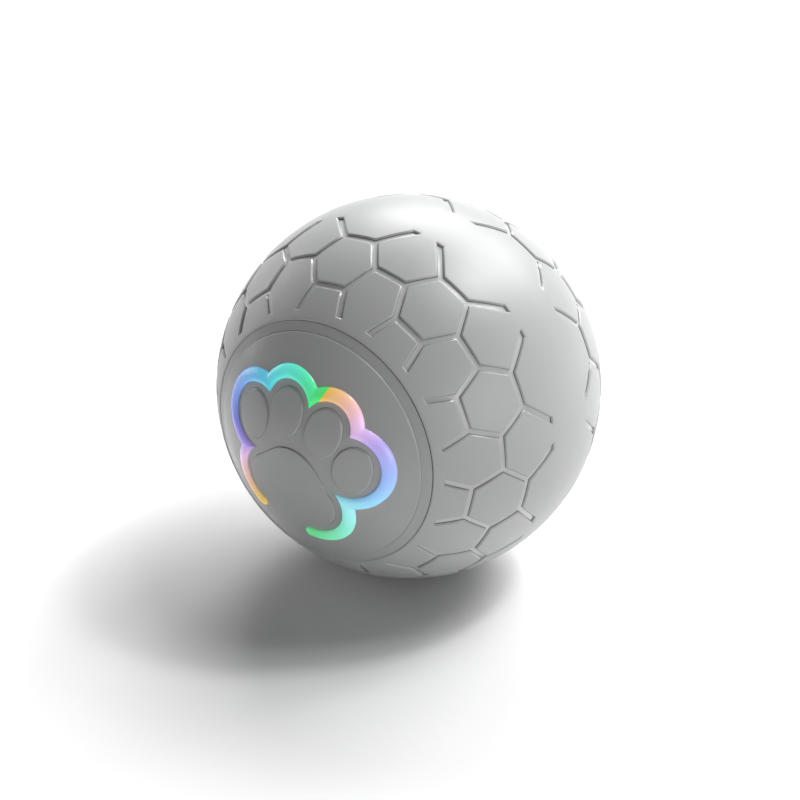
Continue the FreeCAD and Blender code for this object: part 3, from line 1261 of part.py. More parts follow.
def make_core_cover():
    """End cover of the core with the front journal."""
    body = turned("core_cover_turned", [("bulkhead_bore", "cover_back"), ("core_radius", "cover_back"),
                                        ("core_radius", "core_front"), ("journal_radius", "core_front"),
                                        ("journal_radius", "ledge_top"), ("bulkhead_bore", "ledge_top")])
    drill(body, "cover_pinion_hole", "gear_module * (second_pinion_teeth / 2 + 1) + moving_gap",
          "second_axle_x", "second_axle_y", "cover_back", "core_front")
    first = axle_centres()[2]
    drill(body, "cover_axle_hole", "axle_radius + skin_fit", "%.5f" % first.x, "%.5f" % first.y,
          "cover_back", "core_front")
    for k, (x, y) in enumerate(core_spots()):
        drill(body, "cover_screw_hole_%d" % k, "screw_radius + screw_fit", x, y,
              "cover_back", "core_front")
    drill_ring(body, "cover_journal_tap", "small_screw_radius + screw_fit", "journal_screw_ring",
               "journal_screw_count", "90",
               "ledge_top - journal_screw_long + bulkhead_thick - part_gap", "ledge_top + 1")
    deliver(body, "core_cover")


def make_gear_plate():
    """Plate across the core that carries the motor and the axles, with three spacers."""
    body = padded("gear_plate_disc", "gear_plate_back", "gear_plate_front",
                  lambda sketch: draw_circle(sketch, "core_cavity - part_gap"))
    drill(body, "plate_motor_hole", "motor_boss_radius + screw_fit", "motor_x", "motor_y",
          "gear_plate_back", "gear_plate_front")
    first = axle_centres()[2]
    spots = [("motor_x", "motor_y + motor_screw_apart / 2", "small_screw_radius + screw_fit"),
             ("motor_x", "motor_y - motor_screw_apart / 2", "small_screw_radius + screw_fit"),
             ("second_axle_x", "second_axle_y", "axle_radius + skin_fit"),
             ("%.5f" % first.x, "%.5f" % first.y, "axle_radius + skin_fit")]
    for k, (x, y, radius) in enumerate(spots):
        drill(body, "plate_hole_%d" % k, radius, x, y, "gear_plate_back", "gear_plate_front")
    spacers = [cylinder("spacer_%d" % k, "core_boss", "gear_plate_front", "cover_back", x, y)
               for k, (x, y) in enumerate(core_spots())]
    bores = [cylinder("spacer_bore_%d" % k, "screw_radius + screw_fit", "gear_plate_back - 1",
                      "cover_back + 1", x, y) for k, (x, y) in enumerate(core_spots())]
    whole = common("gear_plate_trim", fuse("gear_plate_blank", body, *spacers),
                   cylinder("gear_plate_round", "core_cavity - part_gap", "0", "core_front"))
    deliver(cut("gear_plate_body", whole, *bores), "gear_plate")
    deliver(screws("core_screw", core_spots(), "core_front", "core_screw_long"), "core_screws")


def make_battery():
    """Pouch cell on foam tape on the main board."""
    cell = box("battery_box", "battery_wide", "battery_tall", "battery_back", "main_board_front", "0",
               "battery_base + battery_tall / 2")
    doc.recompute()
    rounded = doc.addObject("Part::Fillet", "battery_rounded")
    rounded.Base = cell
    edges = [k for k, edge in enumerate(cell.Shape.Edges, start=1)
             if abs(edge.tangentAt(edge.FirstParameter).z) > 0.9]
    rounded.Edges = [(k, val("battery_tall") / 4, val("battery_tall") / 4) for k in edges]
    deliver(rounded, "battery")
    tape = box("tape_box", "battery_wide * 0.8", "tape_thick", "battery_back + battery_gap",
               "main_board_front - battery_gap", "0", "main_board_top + tape_thick / 2")
    deliver(group("tape_held", [tape]), "battery_tape")


def make_main_board():
    """Main circuit board on the rails, with its parts underneath."""
    board = padded("main_board_plate", "core_inside + part_gap", "main_board_front",
                   lambda sketch: draw_outline(sketch, [
                       ("-main_board_half", "main_board_y"), ("main_board_half", "main_board_y"),
                       ("main_board_half", "main_board_top"), ("-main_board_half", "main_board_top")]))
    deliver(board, "main_board")
    parts = [("chip_drive", 5, 0.9, -9, 7), ("chip_sensor", 3, 0.9, -3, 8), ("coil", 4, 2, -12, 4),
             ("plug_motor", 5, 2.4, -2, -8), ("plug_battery", 5, 2.4, -10, -8),
             ("capacitor", 2.5, 1.2, 1, 2)]
    blocks = []
    for name, side, tall, along, aside in parts:
        blocks.append(box("board_" + name, str(side), str(tall), "%s - %s / 2" % (along, side),
                          "%s + %s / 2" % (along, side), str(aside), "main_board_y - %s / 2" % tall))
    deliver(group("board_part_group", blocks), "board_parts")


def make_bush(side, placement, low):
    """Flanged bearing bush and thrust washer of the swinging weight."""
    body = turned(side + "_bush_turned", [("journal_bore_radius", low), ("bush_outer - skin_fit / 2", low),
                                          ("bush_outer - skin_fit / 2", "arm_front + touch_gap"),
                                          ("bush_flange", "arm_front + touch_gap"),
                                          ("bush_flange", "arm_front + bush_flange_thick"),
                                          ("journal_bore_radius", "arm_front + bush_flange_thick")])
    deliver(body, side + "_bush", placement)


def make_washer(side, placement, low):
    """Thrust washer between the core and the swinging weight."""
    high = low + " + washer_thick"
    bore = "journal_bore_radius + part_gap"
    body = turned(side + "_washer_turned", [(bore, low), ("washer_radius", low), ("washer_radius", high),
                                            (bore, high)])
    deliver(body, side + "_thrust_washer", placement)


def weight_spots():
    return [on_ring("weight_screw_ring", "-90 %s weight_screw_turn" % sign) for sign in "+-"]


def make_arm(side, placement, bore):
    """Steel arm from the journal down to the weight."""
    disc = cylinder(side + "_arm_disc", "arm_hub", "arm_back", "arm_front")
    foot = common(side + "_arm_foot", sector(side + "_arm_sector", "arm_back", "arm_front"),
                  cylinder(side + "_arm_round", "arm_reach", "arm_back", "arm_front"))
    leg = box(side + "_arm_leg", "2 * arm_waist", "weight_screw_ring", "arm_back", "arm_front", "0",
              "-weight_screw_ring / 2")
    tools = [cylinder(side + "_arm_bore", bore, "0", "ball_radius")]
    for k, (x, y) in enumerate(weight_spots()):
        tools.append(cylinder("%s_arm_hole_%d" % (side, k), "screw_radius + screw_fit", "arm_back - 1",
                              "arm_front + 1", x, y))
        tools.append(cylinder("%s_arm_pocket_%d" % (side, k), "screw_head + sink_gap",
                              "weight_screw_seat", "arm_front + 1", x, y))
    deliver(cut(side + "_arm_body", fuse(side + "_arm_blank", disc, foot, leg), *tools),
            side + "_arm", placement)


def sector(name, low, high):
    """Slice of a ring about the pole axis, hanging straight down."""
    slice_bar = doc.addObject("Part::Cylinder", name + "_slice")
    bind(slice_bar, Radius="weight_outer", Height="(%s) - (%s)" % (high, low), Angle="weight_angle",
         Placement__Base__z=low)
    turn = -90 - val("weight_angle") / 2
    slice_bar.Placement = Placement(Vector(0, 0, 0), Rotation(Vector(0, 0, 1), turn))
    bind(slice_bar, Placement__Base__z=low)
    return cut(name, slice_bar, cylinder(name + "_bore", "weight_inner", low + " - 1", high + " + 1"))


def make_weight():
    """Half moon of steel between the arms, its outside turned to the ball's round."""
    block = common("weight_block", sector("weight_sector", "-arm_back", "arm_back"),
                   sphere("weight_ball", "weight_outer"))
    taps = []
    for k, (x, y) in enumerate(weight_spots()):
        reach = "weight_screw_seat - weight_screw_long - part_gap"
        taps.append(cylinder("weight_tap_%d" % k, "screw_radius + screw_fit", reach, "arm_front", x, y))
        taps.append(cylinder("weight_back_tap_%d" % k, "screw_radius + screw_fit", "-arm_front",
                             "-(%s)" % reach, x, y))
    deliver(cut("weight_body", block, *taps), "counterweight")
    for side, placement in (("front", FRONT), ("rear", REAR)):
        deliver(screws(side + "_weight_screw", weight_spots(), "weight_screw_seat", "weight_screw_long"),
                side + "_weight_screws", placement)


def check_and_write():
    """Stop on any failed object, then write one file per piece."""
    doc.recompute()
    for obj in doc.Objects:
        if "Invalid" in obj.State or "Error" in obj.State:
            raise RuntimeError("failed object: %s %s" % (obj.Name, obj.State))
    os.makedirs("parts", exist_ok=True)
    for obj in nodes:
        shape = obj.Shape
        if shape.isNull() or not shape.isValid() or not shape.Solids:
            raise RuntimeError("bad shape: " + obj.Label)
        shape.exportStep("parts/%s.step" % obj.Label)
        print("%-22s solids %2d volume %9.1f mm3" % (obj.Label, len(shape.Solids), shape.Volume))


make_jacket()
make_shell_seal()
for side, placement in (("front", FRONT), ("rear", REAR)):
    make_shell(side, placement)
    make_bezel(side, placement)
    make_bulkhead(side, placement)
    make_end_screws(side, placement)
    make_panel_seal(side, placement)
make_round_board("front", "lamp_board", FRONT)
make_round_board("rear", "charging_board", REAR)
make_front_panel()
make_light_ring()
make_lamps()
switch_x, switch_y = make_button()
make_switch(switch_x, switch_y)
make_rear_panel()
make_port()
make_plug()
make_core_case()
make_core_cover()
make_gear_plate()
make_battery()
make_main_board()
make_gears()
make_motor()
make_bush("front", FRONT, "output_back")
make_bush("rear", REAR, "core_back + touch_gap + washer_thick + thrust_play")
make_washer("front", FRONT, "core_front + touch_gap")
make_washer("rear", REAR, "core_back + touch_gap")
make_arm("front", FRONT, "output_hub + skin_fit")
make_arm("rear", REAR, "bush_outer")
make_weight()
check_and_write()
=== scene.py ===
import math

import bmesh
import bpy
import numpy as np
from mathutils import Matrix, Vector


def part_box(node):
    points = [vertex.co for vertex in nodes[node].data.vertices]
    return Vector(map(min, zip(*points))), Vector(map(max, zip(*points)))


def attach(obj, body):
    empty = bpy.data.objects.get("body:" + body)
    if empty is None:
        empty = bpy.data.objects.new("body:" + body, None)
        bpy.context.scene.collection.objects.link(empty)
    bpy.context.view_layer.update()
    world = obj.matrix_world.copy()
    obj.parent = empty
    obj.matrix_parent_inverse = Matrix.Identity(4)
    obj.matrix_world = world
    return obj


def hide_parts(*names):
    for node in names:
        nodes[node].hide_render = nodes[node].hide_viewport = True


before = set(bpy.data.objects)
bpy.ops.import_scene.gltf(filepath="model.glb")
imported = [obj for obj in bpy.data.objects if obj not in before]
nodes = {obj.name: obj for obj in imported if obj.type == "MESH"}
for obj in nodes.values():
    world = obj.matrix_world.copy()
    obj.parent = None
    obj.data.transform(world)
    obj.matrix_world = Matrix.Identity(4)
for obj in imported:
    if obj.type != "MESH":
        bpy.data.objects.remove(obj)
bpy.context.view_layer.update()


# Core of the drive: a cup, its cover and the gear plate. Moulded from white nylon-like plastic
# with a fine spark texture, and held together by three long screws.
def new_material(name):
    """Material with its node tree, its principled shader and a socket of object coordinates."""
    material = bpy.data.materials.new(name)
    material.use_nodes = True
    tree = material.node_tree
    shader = tree.nodes["Principled BSDF"]
    place = tree.nodes.new("ShaderNodeTexCoord").outputs["Object"]
    return material, tree, shader, place


def noise(tree, place, scale, detail=3.0, stretch=None):
    """Cloudy pattern with its grain as scale per metre, drawn out along the axes given as stretch."""
    pattern = tree.nodes.new("ShaderNodeTexNoise")
    pattern.inputs["Scale"].default_value = scale
    pattern.inputs["Detail"].default_value = detail
    if stretch:
        turn = tree.nodes.new("ShaderNodeMapping")
        turn.inputs["Scale"].default_value = stretch
        tree.links.new(place, turn.inputs["Vector"])
        place = turn.outputs["Vector"]
    tree.links.new(place, pattern.inputs["Vector"])
    return pattern.outputs["Fac"]


def shades(tree, pattern, stops):
    """Colours that a pattern passes through: stops are (place from 0 to 1, colour)."""
    ramp = tree.nodes.new("ShaderNodeValToRGB")
    row = ramp.color_ramp.elements
    while len(row) < len(stops):
        row.new(0.5)
    for stop, (spot, colour) in zip(row, stops):
        stop.position = spot
        stop.color = (*colour, 1)
    tree.links.new(pattern, ramp.inputs["Fac"])
    return ramp.outputs["Color"]


def spread(tree, pattern, low, high):
    """A pattern's values laid between a low and a high one."""
    reach = tree.nodes.new("ShaderNodeMapRange")
    reach.inputs["To Min"].default_value = low
    reach.inputs["To Max"].default_value = high
    tree.links.new(pattern, reach.inputs["Value"])
    return reach.outputs["Result"]


def relief(tree, shader, pattern, depth, strength=1.0):
    """Bumps of a depth in metres from a pattern."""
    bump = tree.nodes.new("ShaderNodeBump")
    bump.inputs["Distance"].default_value = depth
    bump.inputs["Strength"].default_value = strength
    tree.links.new(pattern, bump.inputs["Height"])
    tree.links.new(bump.outputs["Normal"], shader.inputs["Normal"])


def moulded_plastic(name, colour, rough, grain=2200, depth=4e-6, mottle=0.04):
    """Injection-moulded plastic: a faint cloudiness in the colour and a fine spark texture."""
    material, tree, shader, place = new_material(name)
    cloud = noise(tree, place, 60, 2)
    dark = [channel * (1 - mottle) for channel in colour]
    pale = [min(1, channel * (1 + mottle)) for channel in colour]
    tree.links.new(shades(tree, cloud, [(0.3, dark), (0.7, pale)]), shader.inputs["Base Color"])
    tree.links.new(spread(tree, noise(tree, place, 140, 2), rough - 0.05, rough + 0.05),
                   shader.inputs["Roughness"])
    relief(tree, shader, noise(tree, place, grain, 2), depth)
    return material


def dress(material, *names):
    """Puts a material on CAD nodes."""
    for name in names:
        skin = nodes[name].data.materials
        if not skin:
            skin.append(material)
        for index in range(len(skin)):
            skin[index] = material


inner_plastic = moulded_plastic("inner_plastic", (0.74, 0.73, 0.70), 0.55)
dress(inner_plastic, "core_case", "core_cover", "gear_plate")


# Screws throughout: pan heads with a straight slot, of zinc-plated steel, turned and bright.
def turned_metal(name, colour, rough, lines=9000):
    """Lathe-turned metal: fine rings about the rolling axis in roughness and relief."""
    material, tree, shader, place = new_material(name)
    shader.inputs["Metallic"].default_value = 1.0
    cloud = noise(tree, place, 300, 2)
    dark = [channel * 0.86 for channel in colour]
    tree.links.new(shades(tree, cloud, [(0.3, dark), (0.7, colour)]), shader.inputs["Base Color"])
    rings = noise(tree, place, lines, 1, stretch=(1.0, 0.02, 1.0))
    tree.links.new(spread(tree, rings, rough - 0.06, rough + 0.1), shader.inputs["Roughness"])
    relief(tree, shader, rings, 2e-6)
    return material


screw_steel = turned_metal("screw_steel", (0.62, 0.62, 0.61), 0.26)
dress(screw_steel, *[name for name in nodes if name.endswith("screws")])


# Pouch cell in its silvery foil, on a strip of black foam tape.
def foil_pouch(name):
    """Aluminium foil laminate: soft wrinkles and a satin metal sheen."""
    material, tree, shader, place = new_material(name)
    shader.inputs["Metallic"].default_value = 0.85
    folds = noise(tree, place, 170, 4, stretch=(1.0, 0.35, 1.0))
    tree.links.new(shades(tree, folds, [(0.25, (0.50, 0.52, 0.54)), (0.75, (0.70, 0.71, 0.73))]),
                   shader.inputs["Base Color"])
    tree.links.new(spread(tree, folds, 0.30, 0.46), shader.inputs["Roughness"])
    relief(tree, shader, folds, 1.2e-4)
    return material


def foam(name, colour):
    """Foam or soft rubber: matt, with small open cells."""
    material, tree, shader, place = new_material(name)
    cells = tree.nodes.new("ShaderNodeTexVoronoi")
    cells.inputs["Scale"].default_value = 2600
    tree.links.new(place, cells.inputs["Vector"])
    pit = cells.outputs["Distance"]
    pale = [channel * 1.6 for channel in colour]
    tree.links.new(shades(tree, pit, [(0.1, colour), (0.8, pale)]), shader.inputs["Base Color"])
    shader.inputs["Roughness"].default_value = 0.9
    relief(tree, shader, pit, 6e-5)
    return material


dress(foil_pouch("battery_wrap"), "battery")
dress(foam("tape_foam", (0.025, 0.025, 0.027)), "battery_tape")


# Circuit boards: glass-fibre boards under green solder mask, with the copper tracks showing
# through it as slightly paler lines, and black parts soldered under the main one.
def board_mask(name):
    """Solder mask over tracks: a brick pattern gives long thin tracks with square corners."""
    material, tree, shader, place = new_material(name)
    tracks = tree.nodes.new("ShaderNodeTexBrick")
    tracks.offset = 0.37
    for socket, value in (("Scale", 260.0), ("Mortar Size", 0.045), ("Brick Width", 1.9),
                          ("Row Height", 0.33), ("Mortar Smooth", 0.2)):
        tracks.inputs[socket].default_value = value
    turn = tree.nodes.new("ShaderNodeMapping")
    turn.inputs["Rotation"].default_value = (math.pi / 2, 0, 0)
    tree.links.new(place, turn.inputs["Vector"])
    tree.links.new(turn.outputs["Vector"], tracks.inputs["Vector"])
    line = tracks.outputs["Fac"]
    tree.links.new(shades(tree, line, [(0.2, (0.012, 0.115, 0.05)), (0.8, (0.045, 0.23, 0.10))]),
                   shader.inputs["Base Color"])
    tree.links.new(spread(tree, noise(tree, place, 400, 2), 0.22, 0.34), shader.inputs["Roughness"])
    relief(tree, shader, line, 3e-5)
    return material


part_black = moulded_plastic("part_black", (0.022, 0.022, 0.024), 0.5, grain=3500, depth=6e-6)
dress(board_mask("board_green"), "lamp_board", "charging_board", "main_board")
dress(part_black, "board_parts", "power_switch", "switch_plunger")


# Motor: a drawn steel can with a black end cap, its ground shaft, and a pinion of brass.
def drawn_steel(name, colour, rough):
    """Drawn or ground steel: fine draw lines along the rolling axis."""
    material, tree, shader, place = new_material(name)
    shader.inputs["Metallic"].default_value = 1.0
    lines = noise(tree, place, 4200, 2, stretch=(1.0, 0.03, 1.0))
    dark = [channel * 0.82 for channel in colour]
    tree.links.new(shades(tree, lines, [(0.3, dark), (0.7, colour)]), shader.inputs["Base Color"])
    tree.links.new(spread(tree, lines, rough - 0.05, rough + 0.12), shader.inputs["Roughness"])
    relief(tree, shader, lines, 3e-6)
    return material


black_acetal = moulded_plastic("washer_plastic", (0.03, 0.03, 0.032), 0.38)
brass = turned_metal("brass", (0.72, 0.52, 0.22), 0.24)
dress(drawn_steel("bright_steel", (0.66, 0.66, 0.65), 0.24),
      "motor_can", "motor_shaft", "gear_axles", "charging_socket")
dress(black_acetal, "motor_cap", "front_thrust_washer", "rear_thrust_washer")
dress(brass, "motor_pinion", "front_bush", "rear_bush")


# Gear train: two compound gears and the output gear, moulded in natural acetal, which lets a
# little light in.
def natural_acetal(name):
    """Natural acetal: off-white, slightly translucent and a little waxy."""
    material, tree, shader, place = new_material(name)
    cloud = noise(tree, place, 240, 2)
    tree.links.new(shades(tree, cloud, [(0.3, (0.76, 0.75, 0.69)), (0.7, (0.84, 0.83, 0.78))]),
                   shader.inputs["Base Color"])
    shader.inputs["Subsurface Weight"].default_value = 0.15
    shader.inputs["Subsurface Scale"].default_value = 0.0006
    tree.links.new(spread(tree, cloud, 0.34, 0.44), shader.inputs["Roughness"])
    relief(tree, shader, noise(tree, place, 2600, 2), 3e-6)
    return material


dress(natural_acetal("gear_plastic"), "first_gear", "second_gear", "output_gear")


# Swinging weight: a half moon cast in steel, with its turned outside, between two pressed arms.
def rolled_steel(name):
    """Rolled and cast steel, oiled: dark patches, and brush marks across the piece."""
    material, tree, shader, place = new_material(name)
    shader.inputs["Metallic"].default_value = 1.0
    patches = noise(tree, place, 90, 4)
    tree.links.new(shades(tree, patches, [(0.3, (0.34, 0.34, 0.35)), (0.7, (0.52, 0.52, 0.52))]),
                   shader.inputs["Base Color"])
    marks = noise(tree, place, 3000, 2, stretch=(0.04, 1.0, 1.0))
    tree.links.new(spread(tree, marks, 0.30, 0.50), shader.inputs["Roughness"])
    relief(tree, shader, marks, 5e-6)
    return material


dress(rolled_steel("weight_steel"), "counterweight", "front_arm", "rear_arm")


# Half shells and bulkheads, of the same white plastic as the core, and the black rubber rings
# that keep water out at the middle joint and under both panels.
seal_rubber = moulded_plastic("seal_rubber", (0.018, 0.018, 0.019), 0.6, grain=1500, depth=5e-6)
dress(inner_plastic, "front_shell", "rear_shell", "front_bulkhead", "rear_bulkhead")
dress(seal_rubber, "shell_seal", "front_panel_seal", "rear_panel_seal")


# Lamps under the light ring: small white ceramic cases filled with clear resin.
lamp_white = moulded_plastic("lamp_white", (0.82, 0.80, 0.66), 0.25, mottle=0.1)
dress(lamp_white, "light_lamps")


# Bezels and panels of both caps, and the main pad of the paw: grey plastic moulded with a satin
# finish, as pale as the jacket. Painted shade darkens the fine gap between a panel and its bezel.
def height(tree, place, low, high):
    """Distance from the ball's centre, laid from 0 at a low radius to 1 at a high one."""
    reach = tree.nodes.new("ShaderNodeVectorMath")
    reach.operation = "LENGTH"
    tree.links.new(place, reach.inputs[0])
    rise = tree.nodes.new("ShaderNodeMapRange")
    rise.inputs["From Min"].default_value = low
    rise.inputs["From Max"].default_value = high
    tree.links.new(reach.outputs["Value"], rise.inputs["Value"])
    return rise.outputs["Result"]


def satin_plastic(name, colour, painted_shade, low, high):
    """Satin grey plastic: even on its face, and darkened below a radius by painted shade in the creases.
    """
    material, tree, shader, place = new_material(name)
    tree.links.new(shades(tree, height(tree, place, low, high), [(0, painted_shade), (1, colour)]),
                   shader.inputs["Base Color"])
    tree.links.new(spread(tree, noise(tree, place, 140, 2), 0.21, 0.29), shader.inputs["Roughness"])
    relief(tree, shader, noise(tree, place, 1500, 2), 8e-7)
    return material


# The second grey is painted shade, not the plastic's colour: it darkens the plastic below the radius
# gap_rim.
cap_grey, painted_shade_grey = (0.38, 0.385, 0.385), (0.06, 0.06, 0.06)
gap_floor, gap_rim = 0.0393, 0.03946
cap_plastic = satin_plastic("cap_plastic", cap_grey, painted_shade_grey, gap_floor, gap_rim)
dress(cap_plastic, "front_bezel", "rear_bezel", "front_panel", "rear_panel")


# Charging port: the silicone plug with its strap, and the anchor that holds the strap's end.
plug_silicone = moulded_plastic("plug_silicone", (0.24, 0.245, 0.245), 0.5, grain=1800)
dress(plug_silicone, "port_plug", "plug_anchor")


# Light ring: a clear guide moulded in one piece, set in a channel round the paw. Lamps of
# changing colour stand under it, so that its colour runs through the rainbow along its length.
def surface(name, sheets, along=None):
    """Mesh of several grids of points: neighbours in a grid's rows and columns share a face,
    points that coincide are joined, and the faces are turned outwards. Where given, along holds
    a value of every point, kept as an attribute of that name."""
    points = np.concatenate([sheet.reshape(-1, 3) for sheet in sheets])
    faces, start = [], 0
    for sheet in sheets:
        rows, columns = sheet.shape[:2]
        spot = start + np.arange(rows * columns).reshape(rows, columns)
        faces.append(np.stack([spot[:-1, :-1], spot[:-1, 1:], spot[1:, 1:], spot[1:, :-1]],
                              axis=-1).reshape(-1, 4))
        start += rows * columns
    faces = np.concatenate(faces)
    mesh = bpy.data.meshes.new(name)
    mesh.vertices.add(len(points))
    mesh.vertices.foreach_set("co", points.ravel())
    mesh.loops.add(faces.size)
    mesh.loops.foreach_set("vertex_index", faces.ravel())
    mesh.polygons.add(len(faces))
    mesh.polygons.foreach_set("loop_start", np.arange(0, faces.size, 4))
    mesh.polygons.foreach_set("use_smooth", np.ones(len(faces), bool))
    mesh.update(calc_edges=True)
    if along:
        layer = mesh.attributes.new("along", "FLOAT", "POINT")
        layer.data.foreach_set("value", np.concatenate([values.ravel() for values in along]))
    knit = bmesh.new()
    knit.from_mesh(mesh)
    bmesh.ops.remove_doubles(knit, verts=knit.verts, dist=3e-7)
    bmesh.ops.recalc_face_normals(knit, faces=knit.faces)
    knit.to_mesh(mesh)
    knit.free()
    piece = bpy.data.objects.new(name, mesh)
    bpy.context.scene.collection.objects.link(piece)
    return piece


def from_front(points):
    """Points drawn on the front cap, x to the right, y up and z outwards, set in the ball's frame."""
    return np.stack([points[..., 0], -points[..., 2], points[..., 1]], axis=-1)


def on_paw(flat, radius):
    """Points of the cap from points of the paw's own flat frame, which leans to the right and lies
    beside the pole, each lifted to a sphere of its radius about the ball's centre."""
    u, v = flat[..., 0] + paw_shift, flat[..., 1]
    x = u * math.cos(paw_tilt) + v * math.sin(paw_tilt)
    y = v * math.cos(paw_tilt) - u * math.sin(paw_tilt)
    return np.stack([x, y, np.sqrt(radius ** 2 - x ** 2 - y ** 2)], axis=-1)


def meeting_of_arcs(first, second, reach):
    """Outer crossing of two circles (x, y, radius) whose radii both grow by reach, for a row of
    reaches: the crossing lies on the line between the centres by the law of cosines, then aside."""
    start, finish = np.array(first[:2]), np.array(second[:2])
    gap = np.linalg.norm(finish - start)
    unit = (finish - start) / gap
    along = ((first[2] + reach) ** 2 - (second[2] + reach) ** 2 + gap ** 2) / (2 * gap)
    aside = np.sqrt((first[2] + reach) ** 2 - along ** 2)
    both = [start + along[:, None] * unit + hand * aside[:, None] * [-unit[1], unit[0]]
            for hand in (1, -1)]
    return both[0] if np.linalg.norm(both[0][0]) > np.linalg.norm(both[1][0]) else both[1]


def ring_path(reach, count=40):
    """The ring's flat run: on each circle in turn, an arc from its crossing with the circle before
    to its crossing with the next, drawn at every reach beside the middle line."""
    meets = [meeting_of_arcs(a, b, reach) for a, b in zip(ring_circles, ring_circles[1:])]
    rows = []
    for index, (x, y, radius) in enumerate(ring_circles):
        start = np.full(len(reach), math.radians(ring_ends[0]))
        finish = np.full(len(reach), math.radians(ring_ends[1]))
        if index:
            start = np.arctan2(meets[index - 1][:, 1] - y, meets[index - 1][:, 0] - x)
        if index < len(meets):
            finish = np.arctan2(meets[index][:, 1] - y, meets[index][:, 0] - x)
        finish = start + (finish - start) % (2 * math.pi)
        share = np.arange(count + (index == len(meets)))[:, None] / count
        angle = start + (finish - start) * share
        rows.append(np.stack([x + (radius + reach) * np.cos(angle),
                              y + (radius + reach) * np.sin(angle)], axis=-1))
    return np.concatenate(rows)


paw_tilt, paw_shift = math.radians(13), -0.0005
panel_radius = 0.0398
ring_half, ring_rise, ring_inset, ring_foot = 0.00132, 0.0008, 0.0001, 0.03845
right_arcs = [(0.0046, -0.0084, 0.00885), (0.0112, 0.0034, 0.0081), (0.0048, 0.0099, 0.0065)]
ring_circles = right_arcs + [(-x, y, radius) for x, y, radius in reversed(right_arcs)]
ring_ends = (-86, 250)
swing = np.radians(np.linspace(0, 90, 10))
half_reach = np.concatenate([np.sin(swing), [1, 1, 0]]) * ring_half
half_level = np.concatenate([panel_radius + ring_rise * np.cos(swing),
                             [panel_radius - ring_inset, ring_foot, ring_foot]])
reach = np.concatenate([-half_reach[:0:-1], half_reach])
level = np.concatenate([half_level[:0:-1], half_level])
ridge = len(half_reach) - 1
run = ring_path(reach)
ring_sheets = [on_paw(run, level)]
steps = np.linalg.norm(np.diff(run[:, ridge], axis=0), axis=1)
share = np.concatenate([[0], np.cumsum(steps)]) / steps.sum()
ring_along = [np.broadcast_to(share[:, None], run.shape[:2])]
# Each end is round: half of the section, swept half a turn about the end of the middle line.
for row, hand in ((0, -1), (-1, 1)):
    middle = run[row, ridge]
    out = (run[row, -4] - middle) / ring_half
    turn = np.radians(np.linspace(0, 180, 17))[:, None, None]
    aside = np.cos(turn) * out + np.sin(turn) * hand * np.array([-out[1], out[0]])
    ring_sheets.append(on_paw(middle + half_reach[:, None] * aside, half_level))
    ring_along.append(np.full(ring_sheets[-1].shape[:2], share[row]))
light_ring = surface("light_ring_guide", [from_front(sheet) for sheet in ring_sheets], ring_along)


def rainbow_guide(name):
    """Frosted clear plastic lit from below: its colour changes along the ring, as its lamps do."""
    material, tree, shader, place = new_material(name)
    length = tree.nodes.new("ShaderNodeAttribute")
    length.attribute_name = "along"
    glow = shades(tree, length.outputs["Fac"], [
        (0.00, (0.16, 0.80, 0.30)), (0.07, (0.24, 0.92, 0.58)), (0.14, (0.36, 0.88, 0.88)),
        (0.21, (0.30, 0.66, 0.97)), (0.28, (0.34, 0.48, 0.96)), (0.34, (0.50, 0.40, 0.90)),
        (0.39, (0.86, 0.56, 0.90)), (0.43, (0.95, 0.56, 0.50)), (0.484, (0.96, 0.56, 0.10)),
        (0.488, (0.06, 0.86, 0.16)), (0.53, (0.10, 0.88, 0.42)), (0.59, (0.12, 0.92, 0.80)),
        (0.66, (0.10, 0.60, 0.90)), (0.72, (0.22, 0.42, 0.90)), (0.80, (0.24, 0.26, 0.78)),
        (0.86, (0.42, 0.30, 0.82)), (0.90, (0.84, 0.56, 0.80)), (0.95, (0.86, 0.55, 0.45)),
        (1.00, (0.88, 0.60, 0.16))])
    tree.links.new(glow, shader.inputs["Base Color"])
    tree.links.new(glow, shader.inputs["Emission Color"])
    shader.inputs["Emission Strength"].default_value = 0.3
    tree.links.new(spread(tree, noise(tree, place, 260, 2), 0.20, 0.28), shader.inputs["Roughness"])
    relief(tree, shader, noise(tree, place, 1500, 2), 3e-6)
    return material


light_ring.data.materials.append(rainbow_guide("light_guide"))
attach(light_ring, "ball")
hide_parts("light_ring")


# Main pad of the paw: the power button. A moulded cap of the panel's plastic with a flange below
# that keeps it in, and a stem that presses the switch.
pad_radius, pad_edge, pad_growth, pad_skirt = 0.04015, 0.00022, 0.0001, 0.0006
pad_top, pad_lobe, pad_hollow = (-0.0050, 0.0070), (0.0049, -0.0086, 0.0057), 0.0050
flange_out, flange_radius, flange_under = 0.0007, 0.03735, 0.03625
stem_place, stem_top, stem_gap = np.array([0, -0.007175]), 0.035, 0.00005


def pad_outline(count=26):
    """Outline of the main pad and its outward direction: an arc on top, one on each lobe, tangent
    lines between, and a hollow arc under them."""
    across, drop = pad_lobe[0], pad_lobe[1] - pad_top[0]
    lean = math.acos((pad_top[1] - pad_lobe[2]) / math.hypot(across, drop))
    lean += math.atan2(drop, across)
    fall = math.sqrt((pad_lobe[2] + pad_hollow) ** 2 - across ** 2)
    foot = math.atan2(-fall, -across)
    arcs = [((0, pad_top[0]), pad_top[1], lean, math.pi - lean),
            ((-across, pad_lobe[1]), pad_lobe[2], math.pi - lean, math.pi - foot),
            ((0, pad_lobe[1] - fall), -pad_hollow, -foot, math.pi + foot),
            ((across, pad_lobe[1]), pad_lobe[2], foot, lean)]
    points, outward = [], []
    for centre, radius, start, finish in arcs:
        angle = np.linspace(start, finish, count)
        way = np.stack([np.cos(angle), np.sin(angle)], axis=-1)
        points.append(np.array(centre) + abs(radius) * way)
        outward.append(way * np.sign(radius))
    points, outward = np.concatenate(points), np.concatenate(outward)
    return np.concatenate([points, points[:1]]), np.concatenate([outward, outward[:1]])


